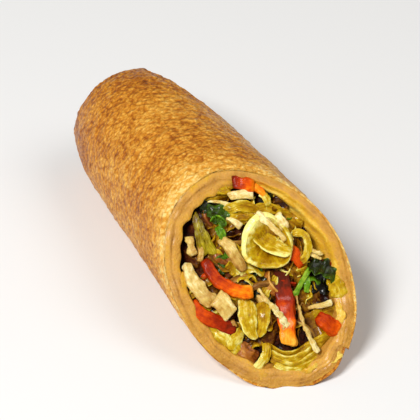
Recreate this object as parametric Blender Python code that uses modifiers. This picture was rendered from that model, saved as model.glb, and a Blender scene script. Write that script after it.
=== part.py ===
"""Half of a fried spring roll, cut on the bias, lying on its side with the cut face forward.

The wrapper is one closed shell: several layers of pastry rolled round the filling, with the last
layer's edge climbing the right-hand side as a small step, and a far end that is tucked in. The
filling runs through the whole roll and shows at the cut, where the largest vegetable pieces are
solids of their own, each bedded in a pocket of the filling.

Metres, +Z up. The roll runs along Y, with the cut at -Y and the closed end at +Y. A station is a
distance along Y behind the middle of the cut. The origin is under the middle of the whole piece.
"""

import math

import bmesh
import bpy
from mathutils import Matrix, Vector

COLLECTION = "spring_roll_half"
CUTTERS = "pockets"

# The rolled pastry.
CUT_RADIUS = 0.0188  # outside, at the middle of the cut
TAPER = 0.07  # radius lost along each unit of length
HALF_LENGTH = 0.068  # middle of the cut to the closed end
SHOULDER = 0.052  # station where the closed end starts to draw in
END_SQUEEZE = 0.16  # share of the radius lost at the closed end
END_CURVE = 2.4  # how late the closed end draws in
WALL = 0.0034  # all the layers of wrapper together
WALL_SWELL = 0.0004  # how much thicker they are at their thickest
SWELL_ANGLE = math.radians(145)  # where in the section that is
LAYER = 0.0008  # the step at the last layer's edge
FLAT_DEPTH = 0.0008  # how far the underside is pressed flat
UNEVEN = 0.0002  # waviness of the hand-rolled skin
RAGGED = 0.0003  # unevenness of the cut edge

# Waves of the skin: turns round the section, radians per metre along, phase, strength.
SKIN_WAVES = ((2, 0, 0.6, 1.0), (3, 40, 0.0, 0.8), (1, 75, 0.0, 0.9))
# Nicks of the cut edge: turns round the section, phase, strength.
RIM_NICKS = ((5, 0.0, 1.0), (11, 1.0, 0.6))

# The bias cut: how far back it runs for each unit upwards and to the right.
CUT_RISE = 0.99
CUT_SLANT = -0.37

# The last layer's edge, as an angle in the section: 0 is to the right, 90 on top.
SEAM_AT_CUT = math.radians(-44)
SEAM_AT_END = math.radians(72)
SEAM_MIDDLE = (SEAM_AT_CUT + SEAM_AT_END) / 2
SEAM_WIDTH = 0.02  # radians taken by the step itself

# The tucked end: a lip round a shallow dish, crossed by the edge of the last fold.
LIP = 0.0011
DISH_DEPTH = 0.0045
DISH_RINGS = (1.0, 0.92, 0.78, 0.6, 0.4, 0.2)  # shares of the dish's radius
FOLD_STEP = 0.0009
FOLD_WIDTH = 0.0016
FOLD_ANGLE = math.radians(35)
END_THICKNESS = 0.0040

# The filling.
GAP = 0.0003  # clearance that separate pieces keep
FACE_RECESS = 0.0011  # the filling sits this far inside the cut
FACE_RELIEF = 0.0009  # bumps of the shredded vegetables
BUMPS_ACROSS, BUMPS_UP = 560, 430  # radians per metre of the bumps' one wave
SLANTED_BUMPS = (910, -700, 0.7)  # of the other: across, up, and its share of the height
LEAF_THICKNESS = 0.0009
SOFT_EDGE = 0.28  # rounding of a shred's edges, as a share of its thinner side
SHRED_CUTS = 5  # cuts along a shred, so that it can bend
LEAF_GRID = 8  # squares along a leaf

AROUND = 58  # points round a section
SKIN_RINGS = 16
CORE_RINGS = 5
END_RINGS = (0.4, 0.8)  # shares of the radius at the cavity's end
FACE_RINGS = 9
CUT_STEPS = 12  # rounds that settle where a line meets the cut

CUT_HEIGHT = CUT_RADIUS - FLAT_DEPTH
CAVITY_END = HALF_LENGTH - DISH_DEPTH - END_THICKNESS

# Name, base colour, roughness.
PASTRY = ("fried_pastry", (0.62, 0.33, 0.10), 0.55)
FILLING = ("shredded_filling", (0.55, 0.47, 0.14), 0.45)
CARROT = ("carrot", (0.85, 0.24, 0.03), 0.35)
CABBAGE = ("cabbage", (0.72, 0.68, 0.28), 0.35)
RIB = ("cabbage_rib", (0.86, 0.76, 0.50), 0.35)
GREENS = ("leafy_greens", (0.06, 0.20, 0.03), 0.40)


def mix(a, b, share):
    """The value this share of the way from a to b."""
    return a + (b - a) * share


def ease(share):
    """A share from 0 to 1, with a soft start and end."""
    share = min(max(share, 0.0), 1.0)
    return share * share * (3 - 2 * share)


def straight_radius(station):
    """Outside radius of the plain taper."""
    return CUT_RADIUS - TAPER * station


def axis_height(station):
    """Height of the roll's middle line: the underside lies on the ground."""
    return straight_radius(station) - FLAT_DEPTH


def squeeze(station):
    """What is left of the radius where the closed end draws in."""
    share = min(max((station - SHOULDER) / (HALF_LENGTH - SHOULDER), 0.0), 1.0)
    return 1 - END_SQUEEZE * share**END_CURVE


def seam_angle(station):
    """Where the last layer's edge runs, as an angle in the section."""
    return mix(SEAM_AT_CUT, SEAM_AT_END, ease(station / HALF_LENGTH))


def section_angle(station, around):
    """Angle in the section of a line that starts at the last layer's edge and drifts with it.

    The drift fades to nothing on the far side, so that only lines near the edge run on a slant.
    """
    drift = seam_angle(station) - SEAM_MIDDLE
    return SEAM_MIDDLE + around + drift * (1 + math.cos(around)) / 2


def skin_radius(station, around):
    """Outside radius with the hand-rolled unevenness and the spiral of the last layer."""
    angle = section_angle(station, around)
    wave = sum(
        strength * math.sin(turn * angle + along * station + phase)
        for turn, along, phase, strength in SKIN_WAVES
    )
    spiral = LAYER * (1 - around / math.tau) * squeeze(station)
    return straight_radius(station) * squeeze(station) + UNEVEN * wave + spiral


def wall(angle):
    """Thickness of all the layers at an angle of the section."""
    return WALL + WALL_SWELL * math.cos(angle - SWELL_ANGLE)


def core_radius(station, around):
    """Inside radius of the wrapper."""
    radius = straight_radius(station) * squeeze(station)
    return radius - wall(section_angle(station, around))


def section_point(station, around, radius):
    """A point of the section, pressed flat where it would be under the ground."""
    angle = section_angle(station, around)
    height = axis_height(station) + radius * math.sin(angle)
    return Vector((radius * math.cos(angle), station, max(height, 0.0)))


def cut_station(x, height):
    """Where the knife passed at this place of the section."""
    return CUT_RISE * (height - CUT_HEIGHT) + CUT_SLANT * x


def on_cut(around, radius_at, back=0.0):
    """The point where a line along the roll, given by its radius, meets the cut, or lies back of it."""
    station = 0.0
    for _ in range(CUT_STEPS):
        point = section_point(station, around, radius_at(station, around))
        station = cut_station(point.x, point.z) + back
    return section_point(station, around, radius_at(station, around))


def turns(count=AROUND):
    """Angles from the last layer's edge right round to just before it."""
    return [(math.tau - SEAM_WIDTH) * i / (count - 1) for i in range(count)]


def between(start, radius_at, end_station, share, around):
    """A point this share of the way from the cut to a station, along the roll's surface."""
    station = mix(start.y, end_station, share)
    return section_point(station, around, radius_at(station, around))


def rim_raggedness(around):
    """Small unevenness of the cut edge."""
    return RAGGED * sum(
        strength * math.sin(turn * around + phase) for turn, phase, strength in RIM_NICKS
    )


def end_dish(around, share):
    """A point of the tucked end: share 1 at the lip, 0 in the middle of the dish."""
    radius = (skin_radius(HALF_LENGTH, around) - 2 * LIP) * share
    point = section_point(HALF_LENGTH, around, radius)
    above = point.z - axis_height(HALF_LENGTH)
    across = point.x * math.sin(FOLD_ANGLE) - above * math.cos(FOLD_ANGLE)
    fold = FOLD_STEP * ease(across / FOLD_WIDTH + 0.5)
    point.y -= DISH_DEPTH * (1 - share**3) - fold * (1 - share**6)
    return point


def wrapper_rings():
    """Rings of the shell, from the middle of the cavity's end, out over the rim, to the tucked end."""
    rings = []
    for share in END_RINGS:
        rings.append(
            [section_point(CAVITY_END, a, share * core_radius(CAVITY_END, a)) for a in turns()]
        )
    inner_edge = [on_cut(a, core_radius, rim_raggedness(a)) for a in turns()]
    outer_edge = [on_cut(a, skin_radius, rim_raggedness(a)) for a in turns()]
    for i in range(CORE_RINGS, 0, -1):
        share = i / CORE_RINGS
        rings.append(
            [between(p, core_radius, CAVITY_END, share, a) for p, a in zip(inner_edge, turns())]
        )
    rings.append(inner_edge)
    rings.append([p.lerp(q, 0.5) for p, q in zip(inner_edge, outer_edge)])
    rings.append(outer_edge)
    for i in range(1, SKIN_RINGS + 1):
        share, last = i / SKIN_RINGS, HALF_LENGTH - LIP
        rings.append(
            [between(p, skin_radius, last, share, a) for p, a in zip(outer_edge, turns())]
        )
    rings.append(
        [section_point(HALF_LENGTH, a, skin_radius(HALF_LENGTH, a) - LIP) for a in turns()]
    )
    for share in DISH_RINGS:
        rings.append([end_dish(a, share) for a in turns()])
    return rings


def filling_radius(station, around):
    """Outside radius of the filling, clear of the wrapper."""
    return core_radius(station, around) - GAP


def face_point(edge, share):
    """A point of the uneven face: share 1 at the filling's edge, 0 in the middle."""
    middle = Vector((0.0, 0.0, CUT_HEIGHT))
    point = middle.lerp(edge, share)
    across, up, share_of_height = SLANTED_BUMPS
    bumps = math.sin(BUMPS_ACROSS * point.x + 1.0) * math.sin(BUMPS_UP * point.z)
    bumps += share_of_height * math.sin(across * point.x + up * point.z)
    point.y = cut_station(point.x, point.z) + FACE_RECESS - FACE_RELIEF * bumps
    return point


def filling_rings():
    """Rings of the filling, from the middle of its inner end to the middle of its face."""
    end = CAVITY_END - GAP
    rings = []
    for share in END_RINGS:
        rings.append([section_point(end, a, share * filling_radius(end, a)) for a in turns()])
    edge = [on_cut(a, filling_radius, FACE_RECESS) for a in turns()]
    rim = [face_point(p, 1.0) for p in edge]
    for i in range(CORE_RINGS, 0, -1):
        share = i / CORE_RINGS
        rings.append([between(p, filling_radius, end, share, a) for p, a in zip(rim, turns())])
    for i in range(FACE_RINGS, 0, -1):
        rings.append([face_point(p, i / FACE_RINGS) for p in edge])
    return rings


def loft(name, rings, first, last):
    """A closed mesh through rings of equal count, with a point at each end."""
    mesh = bmesh.new()
    rows = [[mesh.verts.new(p) for p in ring] for ring in rings]
    for low, high in zip(rows, rows[1:]):
        for i, corner in enumerate(low):
            j = (i + 1) % len(low)
            mesh.faces.new((corner, low[j], high[j], high[i]))
    for row, pole in ((rows[0], first), (rows[-1], last)):
        tip = mesh.verts.new(pole)
        for i, corner in enumerate(row):
            mesh.faces.new((corner, row[(i + 1) % len(row)], tip))
    bmesh.ops.recalc_face_normals(mesh, faces=mesh.faces)
    return finished(name, mesh)


def finished(name, mesh):
    """The bmesh as a mesh datablock, shaded smooth."""
    data = bpy.data.meshes.new(name)
    mesh.to_mesh(data)
    mesh.free()
    data.shade_smooth()
    return data


def face_axes():
    """The cut face as a matrix: X to the right in the face, Y up in it, Z out of it."""
    out = Vector((CUT_SLANT, -1.0, CUT_RISE)).normalized()
    right = Vector((0.0, 0.0, 1.0)).cross(out).normalized()
    up = out.cross(right)
    axes = Matrix((right, up, out)).transposed().to_4x4()
    axes.translation = Vector((0.0, 0.0, CUT_HEIGHT))
    return axes


def stick(name, length, width, depth, bend=0.0, grow=0.0):
    """A shred with rounded edges, along its own X, bent within the cut face."""
    mesh = bmesh.new()
    bmesh.ops.create_cube(mesh, size=1.0)
    sides = [e for e in mesh.edges if abs(e.verts[0].co.x - e.verts[1].co.x) > 0.5]
    bmesh.ops.subdivide_edges(mesh, edges=sides, cuts=SHRED_CUTS, use_grid_fill=True)
    size = (length + 2 * grow, width + 2 * grow, depth + 2 * grow)
    bmesh.ops.scale(mesh, vec=size, verts=mesh.verts)
    obj = bpy.data.objects.new(name, finished(name, mesh))
    round_off = obj.modifiers.new("round", "BEVEL")
    round_off.width = SOFT_EDGE * min(width, depth)
    round_off.segments = 2
    round_off.limit_method = "ANGLE"
    if bend:
        curl = obj.modifiers.new("curl", "SIMPLE_DEFORM")
        curl.deform_method = "BEND"
        curl.deform_axis = "Z"
        curl.angle = bend
    return obj


def leaf(name, length, width, depth, ruffle=0.0, grow=0.0):
    """A piece of leaf: a thin sheet, hollowed by depth and ruffled at its edge."""
    mesh = bmesh.new()
    bmesh.ops.create_grid(mesh, x_segments=LEAF_GRID, y_segments=LEAF_GRID, size=1.0)
    for vert in mesh.verts:
        x, y = vert.co.x, vert.co.y
        disc_x, disc_y = x * math.sqrt(1 - y * y / 2), y * math.sqrt(1 - x * x / 2)
        away = disc_x**2 + disc_y**2
        turn = math.atan2(disc_y, disc_x)
        vert.co.x = disc_x * (length / 2 + grow)
        vert.co.y = disc_y * (width / 2 + grow)
        vert.co.z = depth * (away - 0.5) + ruffle * away * math.sin(4 * turn + 0.5)
    obj = bpy.data.objects.new(name, finished(name, mesh))
    thick = obj.modifiers.new("thickness", "SOLIDIFY")
    thick.thickness = LEAF_THICKNESS + 2 * grow
    thick.offset = 0.0
    return obj


# Each large piece at the cut: what makes it, its sizes, its place in the face (right, up, out),
# its turn in the face and its tip out of it (both in degrees), and its material.
PIECES = {
    "carrot_bent": (
        stick, dict(length=0.0125, width=0.0028, depth=0.0028, bend=math.radians(48)),
        (-0.0060, -0.0012, 0.0006), -27, 0, CARROT,
    ),
    "carrot_long": (
        stick, dict(length=0.0155, width=0.0040, depth=0.0034),
        (0.0062, -0.0078, -0.0002), -88, 7, CARROT,
    ),
    "carrot_low": (
        stick, dict(length=0.0092, width=0.0034, depth=0.0026, bend=math.radians(18)),
        (-0.0079, -0.0100, -0.0011), -32, 0, CARROT,
    ),
    "carrot_top": (
        stick, dict(length=0.0056, width=0.0030, depth=0.0026),
        (-0.0024, 0.0162, 0.0002), -12, 0, CARROT,
    ),
    "carrot_dice": (
        stick, dict(length=0.0044, width=0.0040, depth=0.0032),
        (0.0130, -0.0100, -0.0004), -35, 0, CARROT,
    ),
    "cabbage_cup": (
        leaf, dict(length=0.0118, width=0.0098, depth=0.0030),
        (0.0022, 0.0068, 0.0008), 60, 0, CABBAGE,
    ),
    "cabbage_fold": (
        leaf, dict(length=0.0084, width=0.0066, depth=0.0026),
        (-0.0008, -0.0100, 0.0008), 70, 0, CABBAGE,
    ),
    "cabbage_curl": (
        leaf, dict(length=0.0080, width=0.0040, depth=0.0018, ruffle=0.0003),
        (-0.0040, 0.0122, 0.0006), -8, 0, CABBAGE,
    ),
    "rib_slice": (
        stick, dict(length=0.0085, width=0.0028, depth=0.0020),
        (-0.0117, -0.0022, -0.0002), -60, 0, RIB,
    ),
    "rib_dice": (
        stick, dict(length=0.0038, width=0.0038, depth=0.0024),
        (-0.0074, -0.0066, 0.0017), 45, 0, RIB,
    ),
    "rib_strip": (
        stick, dict(length=0.0066, width=0.0022, depth=0.0020),
        (-0.0058, 0.0045, 0.0002), -55, 0, RIB,
    ),
    "green_stalk": (
        stick, dict(length=0.0080, width=0.0030, depth=0.0022),
        (-0.0112, 0.0080, -0.0006), -68, 0, GREENS,
    ),
    "green_leaf": (
        leaf, dict(length=0.0072, width=0.0056, depth=0.0014, ruffle=0.0006),
        (0.0125, -0.0020, -0.0002), 20, 0, GREENS,
    ),
}


def material(name, colour, roughness):
    """The Principled material of this name, made once."""
    if name not in bpy.data.materials:
        made = bpy.data.materials.new(name)
        made.use_nodes = True
        shader = made.node_tree.nodes["Principled BSDF"]
        shader.inputs["Base Color"].default_value = (*colour, 1.0)
        shader.inputs["Roughness"].default_value = roughness
        shader.inputs["Metallic"].default_value = 0.0
    return bpy.data.materials[name]


def collection(name):
    """A new collection of this name in the scene."""
    made = bpy.data.collections.new(name)
    bpy.context.scene.collection.children.link(made)
    return made


def place_piece(obj, face, place, turn, tip):
    """Parents a piece to the cut face's empty and lays it in the face."""
    obj.parent = face
    obj.location = place
    obj.rotation_euler = (0.0, math.radians(tip), math.radians(turn))


def pocket(filling, obj):
    """Cuts a grown copy of a piece out of the filling.

    The manifold solver does it, because the exact one fails on the shallow pockets of the leaves.
    """
    obj.hide_render = True
    obj.display_type = "WIRE"
    cut = filling.modifiers.new(obj.name, "BOOLEAN")
    cut.operation = "DIFFERENCE"
    cut.solver = "MANIFOLD"
    cut.object = obj


def clear_scene():
    """Removes whatever the scene holds."""
    for obj in list(bpy.data.objects):
        bpy.data.objects.remove(obj)


def add_empty(name, parts, parent=None):
    """An empty that carries other objects."""
    obj = bpy.data.objects.new(name, None)
    parts.objects.link(obj)
    obj.parent = parent
    return obj


def main():
    """Builds the wrapper, the filling and the pieces that show at the cut."""
    clear_scene()
    parts, cutters = collection(COLLECTION), collection(CUTTERS)

    middle = Vector((0.0, CAVITY_END, axis_height(CAVITY_END)))
    dish_middle = end_dish(0.0, 0.0)
    wrapper = bpy.data.objects.new(
        "wrapper", loft("wrapper", wrapper_rings(), middle, dish_middle)
    )
    core_end = middle - Vector((0.0, GAP, 0.0))
    face_middle = face_point(Vector((0.0, 0.0, CUT_HEIGHT)), 0.0)
    filling = bpy.data.objects.new(
        "filling", loft("filling", filling_rings(), core_end, face_middle)
    )

    corners = [Vector(c) for c in wrapper.bound_box]
    centre = (corners[0] + corners[6]) / 2
    root = add_empty("roll", parts)
    root.location = (-centre.x, -centre.y, 0.0)
    face = add_empty("cut_face", parts, root)
    face.matrix_local = face_axes()

    for obj, finish in ((wrapper, PASTRY), (filling, FILLING)):
        parts.objects.link(obj)
        obj.parent = root
        obj.data.materials.append(material(*finish))

    for name, (make, sizes, place, turn, tip, finish) in PIECES.items():
        piece = make(name, **sizes)
        piece.data.materials.append(material(*finish))
        parts.objects.link(piece)
        place_piece(piece, face, place, turn, tip)
        cutter = make(name + "_pocket", grow=GAP, **sizes)
        cutters.objects.link(cutter)
        place_piece(cutter, face, place, turn, tip)
        pocket(filling, cutter)


main()
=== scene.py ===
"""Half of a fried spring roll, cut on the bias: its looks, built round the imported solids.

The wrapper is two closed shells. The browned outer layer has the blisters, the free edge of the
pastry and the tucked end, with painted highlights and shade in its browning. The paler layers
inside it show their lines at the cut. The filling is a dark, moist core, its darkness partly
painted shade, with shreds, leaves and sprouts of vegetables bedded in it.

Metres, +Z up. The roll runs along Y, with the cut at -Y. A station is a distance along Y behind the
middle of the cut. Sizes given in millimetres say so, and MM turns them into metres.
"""

import logging
import math
from dataclasses import dataclass, field
from enum import Enum, IntEnum
from typing import Callable

import bpy
import numpy as np
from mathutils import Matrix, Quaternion, Vector


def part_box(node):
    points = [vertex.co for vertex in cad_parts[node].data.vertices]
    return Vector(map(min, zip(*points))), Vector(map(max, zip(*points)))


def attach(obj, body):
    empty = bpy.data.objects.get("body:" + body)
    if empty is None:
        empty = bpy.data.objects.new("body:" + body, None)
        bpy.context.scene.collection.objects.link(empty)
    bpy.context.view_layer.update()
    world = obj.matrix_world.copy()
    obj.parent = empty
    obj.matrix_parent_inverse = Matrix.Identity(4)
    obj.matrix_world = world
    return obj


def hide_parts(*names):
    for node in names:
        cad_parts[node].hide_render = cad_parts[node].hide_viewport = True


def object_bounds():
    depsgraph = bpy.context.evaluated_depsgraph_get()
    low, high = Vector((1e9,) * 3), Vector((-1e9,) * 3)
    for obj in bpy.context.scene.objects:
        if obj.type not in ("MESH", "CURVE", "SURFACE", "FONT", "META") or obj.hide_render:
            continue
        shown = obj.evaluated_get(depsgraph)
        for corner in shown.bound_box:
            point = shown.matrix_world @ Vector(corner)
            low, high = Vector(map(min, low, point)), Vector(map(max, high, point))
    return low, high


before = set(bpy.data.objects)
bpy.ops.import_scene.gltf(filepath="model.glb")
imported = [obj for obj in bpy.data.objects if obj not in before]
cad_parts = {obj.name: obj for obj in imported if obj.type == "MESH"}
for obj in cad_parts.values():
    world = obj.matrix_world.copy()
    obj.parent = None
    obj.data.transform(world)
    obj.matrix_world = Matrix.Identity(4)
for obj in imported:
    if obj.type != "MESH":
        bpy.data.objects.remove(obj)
CAD_BOX = [list(corner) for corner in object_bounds()]

MM = 0.001
BODY = "root"
NOISE_REACH = 0.3  # how far a noise texture mostly strays from its middle of 0.5
LOG = logging.getLogger("spring_roll")
Array = np.ndarray
RadiusAt = Callable[[Array, Array], Array]


# ---------------------------------------------------------------- numbers and noise


def smooth(share: Array | float, low: float = 0.0, high: float = 1.0) -> Array:
    """From 0 at low to 1 at high, with a soft start and end."""
    part = np.clip((np.asarray(share, float) - low) / (high - low), 0.0, 1.0)
    return part * part * (3 - 2 * part)


def bump(value: Array, middle: float, width: float) -> Array:
    """A bell round a middle: 1 there, falling off over the width."""
    return np.exp(-(((value - middle) / width) ** 2))


def cell_random(cells: Array, salt: int) -> Array:
    """A random number from 0 to 1 for each whole-number cell, mixed from products of its coordinates.

    Args:
        cells: Whole numbers, with the three coordinates last.
        salt: Picks one of many such fields of numbers.

    Returns:
        One number for each cell.
    """
    x, y, z = (cells[..., i].astype(np.int64).astype(np.uint32) for i in range(3))
    mixed = x * np.uint32(374761393) + y * np.uint32(668265263) + z * np.uint32(2246822519)
    mixed = mixed + np.uint32(salt * 40503 + 977)
    for shift, factor in ((13, 1274126177), (16, 2654435769)):
        mixed = (mixed ^ (mixed >> np.uint32(shift))) * np.uint32(factor)
    return (mixed ^ (mixed >> np.uint32(15))).astype(np.float64) / 2**32


def soft_noise(points: Array, size: float, salt: int, octaves: int = 1) -> Array:
    """Smooth noise from -1 to 1: random corner values, blended through each cell.

    Args:
        points: Places, in metres, with the three coordinates last.
        size: Edge of a cell, in metres. Each further octave has half the size and half the height.
        salt: Picks the pattern.
        octaves: How many sizes are added.

    Returns:
        One value for each point.
    """
    total, weight = np.zeros(points.shape[:-1]), 0.0
    for octave in range(octaves):
        place = points * (2**octave / size)
        cell = np.floor(place)
        part = place - cell
        part = part**3 * (part * (part * 6 - 15) + 10)
        value = np.zeros(points.shape[:-1])
        for corner in np.ndindex(2, 2, 2):
            share = np.prod(np.where(corner, part, 1 - part), axis=-1)
            value += share * cell_random(cell + corner, salt + octave)
        total += (2 * value - 1) / 2**octave
        weight += 1 / 2**octave
    return total / weight


def domes(points: Array, size: float, salt: int) -> Array:
    """Blisters from 0 to 1: each cell holds one round dome of its own place, width and height.

    Args:
        points: Places, in metres, with the three coordinates last.
        size: Distance between blisters, in metres.
        salt: Picks the pattern.

    Returns:
        One height for each point.
    """
    place = points / size
    cell = np.floor(place)
    height = np.zeros(points.shape[:-1])
    for step in np.ndindex(3, 3, 3):
        near = cell + step - 1
        middle = near + np.stack([cell_random(near, salt + i) for i in range(3)], axis=-1)
        radius = 0.35 + 0.4 * cell_random(near, salt + 3)
        apart = np.sum((place - middle) ** 2, axis=-1) / radius**2
        dome = np.clip(1 - apart, 0, 1) * (0.3 + 0.7 * cell_random(near, salt + 4))
        height = np.maximum(height, dome)
    return height


# ---------------------------------------------------------------- meshes


def unit(vectors: Array) -> Array:
    """The vectors, each scaled to length 1."""
    return vectors / np.maximum(np.linalg.norm(vectors, axis=-1, keepdims=True), 1e-12)


def grid_normals(points: Array) -> Array:
    """Normals of a grid that is closed round its columns: the cross product of its two slopes.

    Args:
        points: The grid, as rows by columns by three.

    Returns:
        One direction of length 1 for each point.
    """
    along = np.gradient(points, axis=0)
    round_it = np.roll(points, -1, axis=1) - np.roll(points, 1, axis=1)
    return unit(np.cross(round_it, along))


@dataclass
class Surface:
    """A closed surface: rings of points, each ring closed, with a pole at either end.

    Args:
        points: The rings, as rows by columns by three.
        first: The pole before the first ring.
        last: The pole after the last ring.
        values: What the points carry for the material, each as rows by columns (by three).
    """

    points: Array
    first: Array
    last: Array
    values: dict[str, Array] = field(default_factory=dict)

    def faces(self) -> tuple[Array, Array]:
        """The faces, which all face outwards.

        Returns:
            The quads between the rings, and the triangles at the poles.
        """
        rows, columns = self.points.shape[:2]
        index = np.arange(rows * columns).reshape(rows, columns)
        beside = np.roll(index, -1, axis=1)
        quads = np.stack([index[:-1], beside[:-1], beside[1:], index[1:]], axis=-1).reshape(-1, 4)
        first, last = rows * columns, rows * columns + 1
        start = np.stack([beside[0], index[0], np.full(columns, first)], axis=-1)
        end = np.stack([index[-1], beside[-1], np.full(columns, last)], axis=-1)
        triangles = np.concatenate([start, end])
        if self.volume(quads, triangles) < 0:
            quads, triangles = quads[:, ::-1], triangles[:, ::-1]
        return quads, triangles

    def vertices(self) -> Array:
        """All the points: the rings row by row, then the two poles."""
        return np.concatenate([self.points.reshape(-1, 3), self.first[None], self.last[None]])

    def volume(self, quads: Array, triangles: Array) -> float:
        """Six times the signed volume, from the determinants of its triangles' corners.

        Args:
            quads: Four corner numbers each.
            triangles: Three corner numbers each.

        Returns:
            The volume, negative where the faces point inwards.
        """
        corners = self.vertices()
        corners = corners - corners.mean(axis=0)
        every = np.concatenate([quads[:, [0, 1, 2]], quads[:, [0, 2, 3]], triangles])
        return float(np.linalg.det(corners[every]).sum())

    def carried(self, name: str) -> Array:
        """What the points carry, with each pole taking its ring's mean.

        Args:
            name: Which of the values.

        Returns:
            One value for each of the vertices.
        """
        value = self.values[name]
        flat = value.reshape(-1, *value.shape[2:])
        poles = np.stack([value[0].mean(axis=0), value[-1].mean(axis=0)])
        return np.concatenate([flat, poles])


def closed_surface(points: Array, values: dict[str, Array]) -> Surface:
    """A surface whose poles are the middles of its first and last rings."""
    return Surface(points, points[0].mean(axis=0), points[-1].mean(axis=0), values)


def make_object(name: str, surfaces: list[Surface]) -> bpy.types.Object:
    """One object from closed surfaces, with what their points carry as attributes.

    Args:
        name: The piece's name.
        surfaces: Its surfaces, which all carry the same values.

    Returns:
        The object, at the origin, in the scene.
    """
    vertices, faces, start = [], [], 0
    for surface in surfaces:
        quads, triangles = surface.faces()
        faces += (quads + start).tolist() + (triangles + start).tolist()
        vertices.append(surface.vertices())
        start += len(vertices[-1])
    mesh = bpy.data.meshes.new(name)
    mesh.from_pydata(np.concatenate(vertices), [], faces)
    for key, value in surfaces[0].values.items():
        kind = "FLOAT_VECTOR" if value.ndim == 3 else "FLOAT"
        attribute = mesh.attributes.new(key, kind, "POINT")
        data = np.concatenate([surface.carried(key) for surface in surfaces])
        field_name = "vector" if value.ndim == 3 else "value"
        attribute.data.foreach_set(field_name, data.astype(np.float32).ravel())
    mesh.shade_smooth()
    made = bpy.data.objects.new(name, mesh)
    bpy.context.scene.collection.objects.link(made)
    return made


def finish_piece(
    piece: bpy.types.Object, material: bpy.types.Material, nodes: tuple[str, ...] = ()
) -> None:
    """Dresses a piece, lets it ride with the roll and says what it stands for.

    Args:
        piece: The piece.
        material: Its finish.
        nodes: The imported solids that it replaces.
    """
    piece.data.materials.append(material)
    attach(piece, BODY)
    if nodes:
        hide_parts(*nodes)
    triangles = sum(len(polygon.vertices) - 2 for polygon in piece.data.polygons)
    LOG.info("%s: %d triangles, stands for %s", piece.name, triangles, ", ".join(nodes) or "-")


# ---------------------------------------------------------------- materials


def linear(colour: str) -> tuple[float, float, float, float]:
    """An sRGB hex colour as linear light.

    Args:
        colour: Such as #A07204.

    Returns:
        Red, green and blue from 0 to 1, and full cover.
    """
    parts = [int(colour[i : i + 2], 16) / 255 for i in (1, 3, 5)]
    light = [c / 12.92 if c <= 0.04045 else ((c + 0.055) / 1.055) ** 2.4 for c in parts]
    return (light[0], light[1], light[2], 1.0)


def add_node(
    tree: bpy.types.NodeTree, kind: str, sockets: dict, stops: tuple = (), **settings
) -> bpy.types.Node:
    """Adds a node with its settings and links.

    Args:
        tree: The material's node tree.
        kind: The node's type.
        sockets: Socket name or number, to a value or to the output that feeds it.
        stops: A colour ramp's places and sRGB hex colours, in order.
        settings: The node's own properties.

    Returns:
        The new node.
    """
    made = tree.nodes.new(kind)
    for key, value in settings.items():
        setattr(made, key, value)
    for key, source in sockets.items():
        if isinstance(source, bpy.types.NodeSocket):
            tree.links.new(source, made.inputs[key])
        else:
            made.inputs[key].default_value = source
    for i, (place, colour) in enumerate(stops):
        stop = made.color_ramp.elements[i] if i < 2 else made.color_ramp.elements.new(1.0)
        stop.position, stop.color = place, linear(colour)
    return made


def per_size(size_mm: float) -> float:
    """The scale that gives a texture features of this size."""
    return 1.0 / (size_mm * MM)


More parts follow.
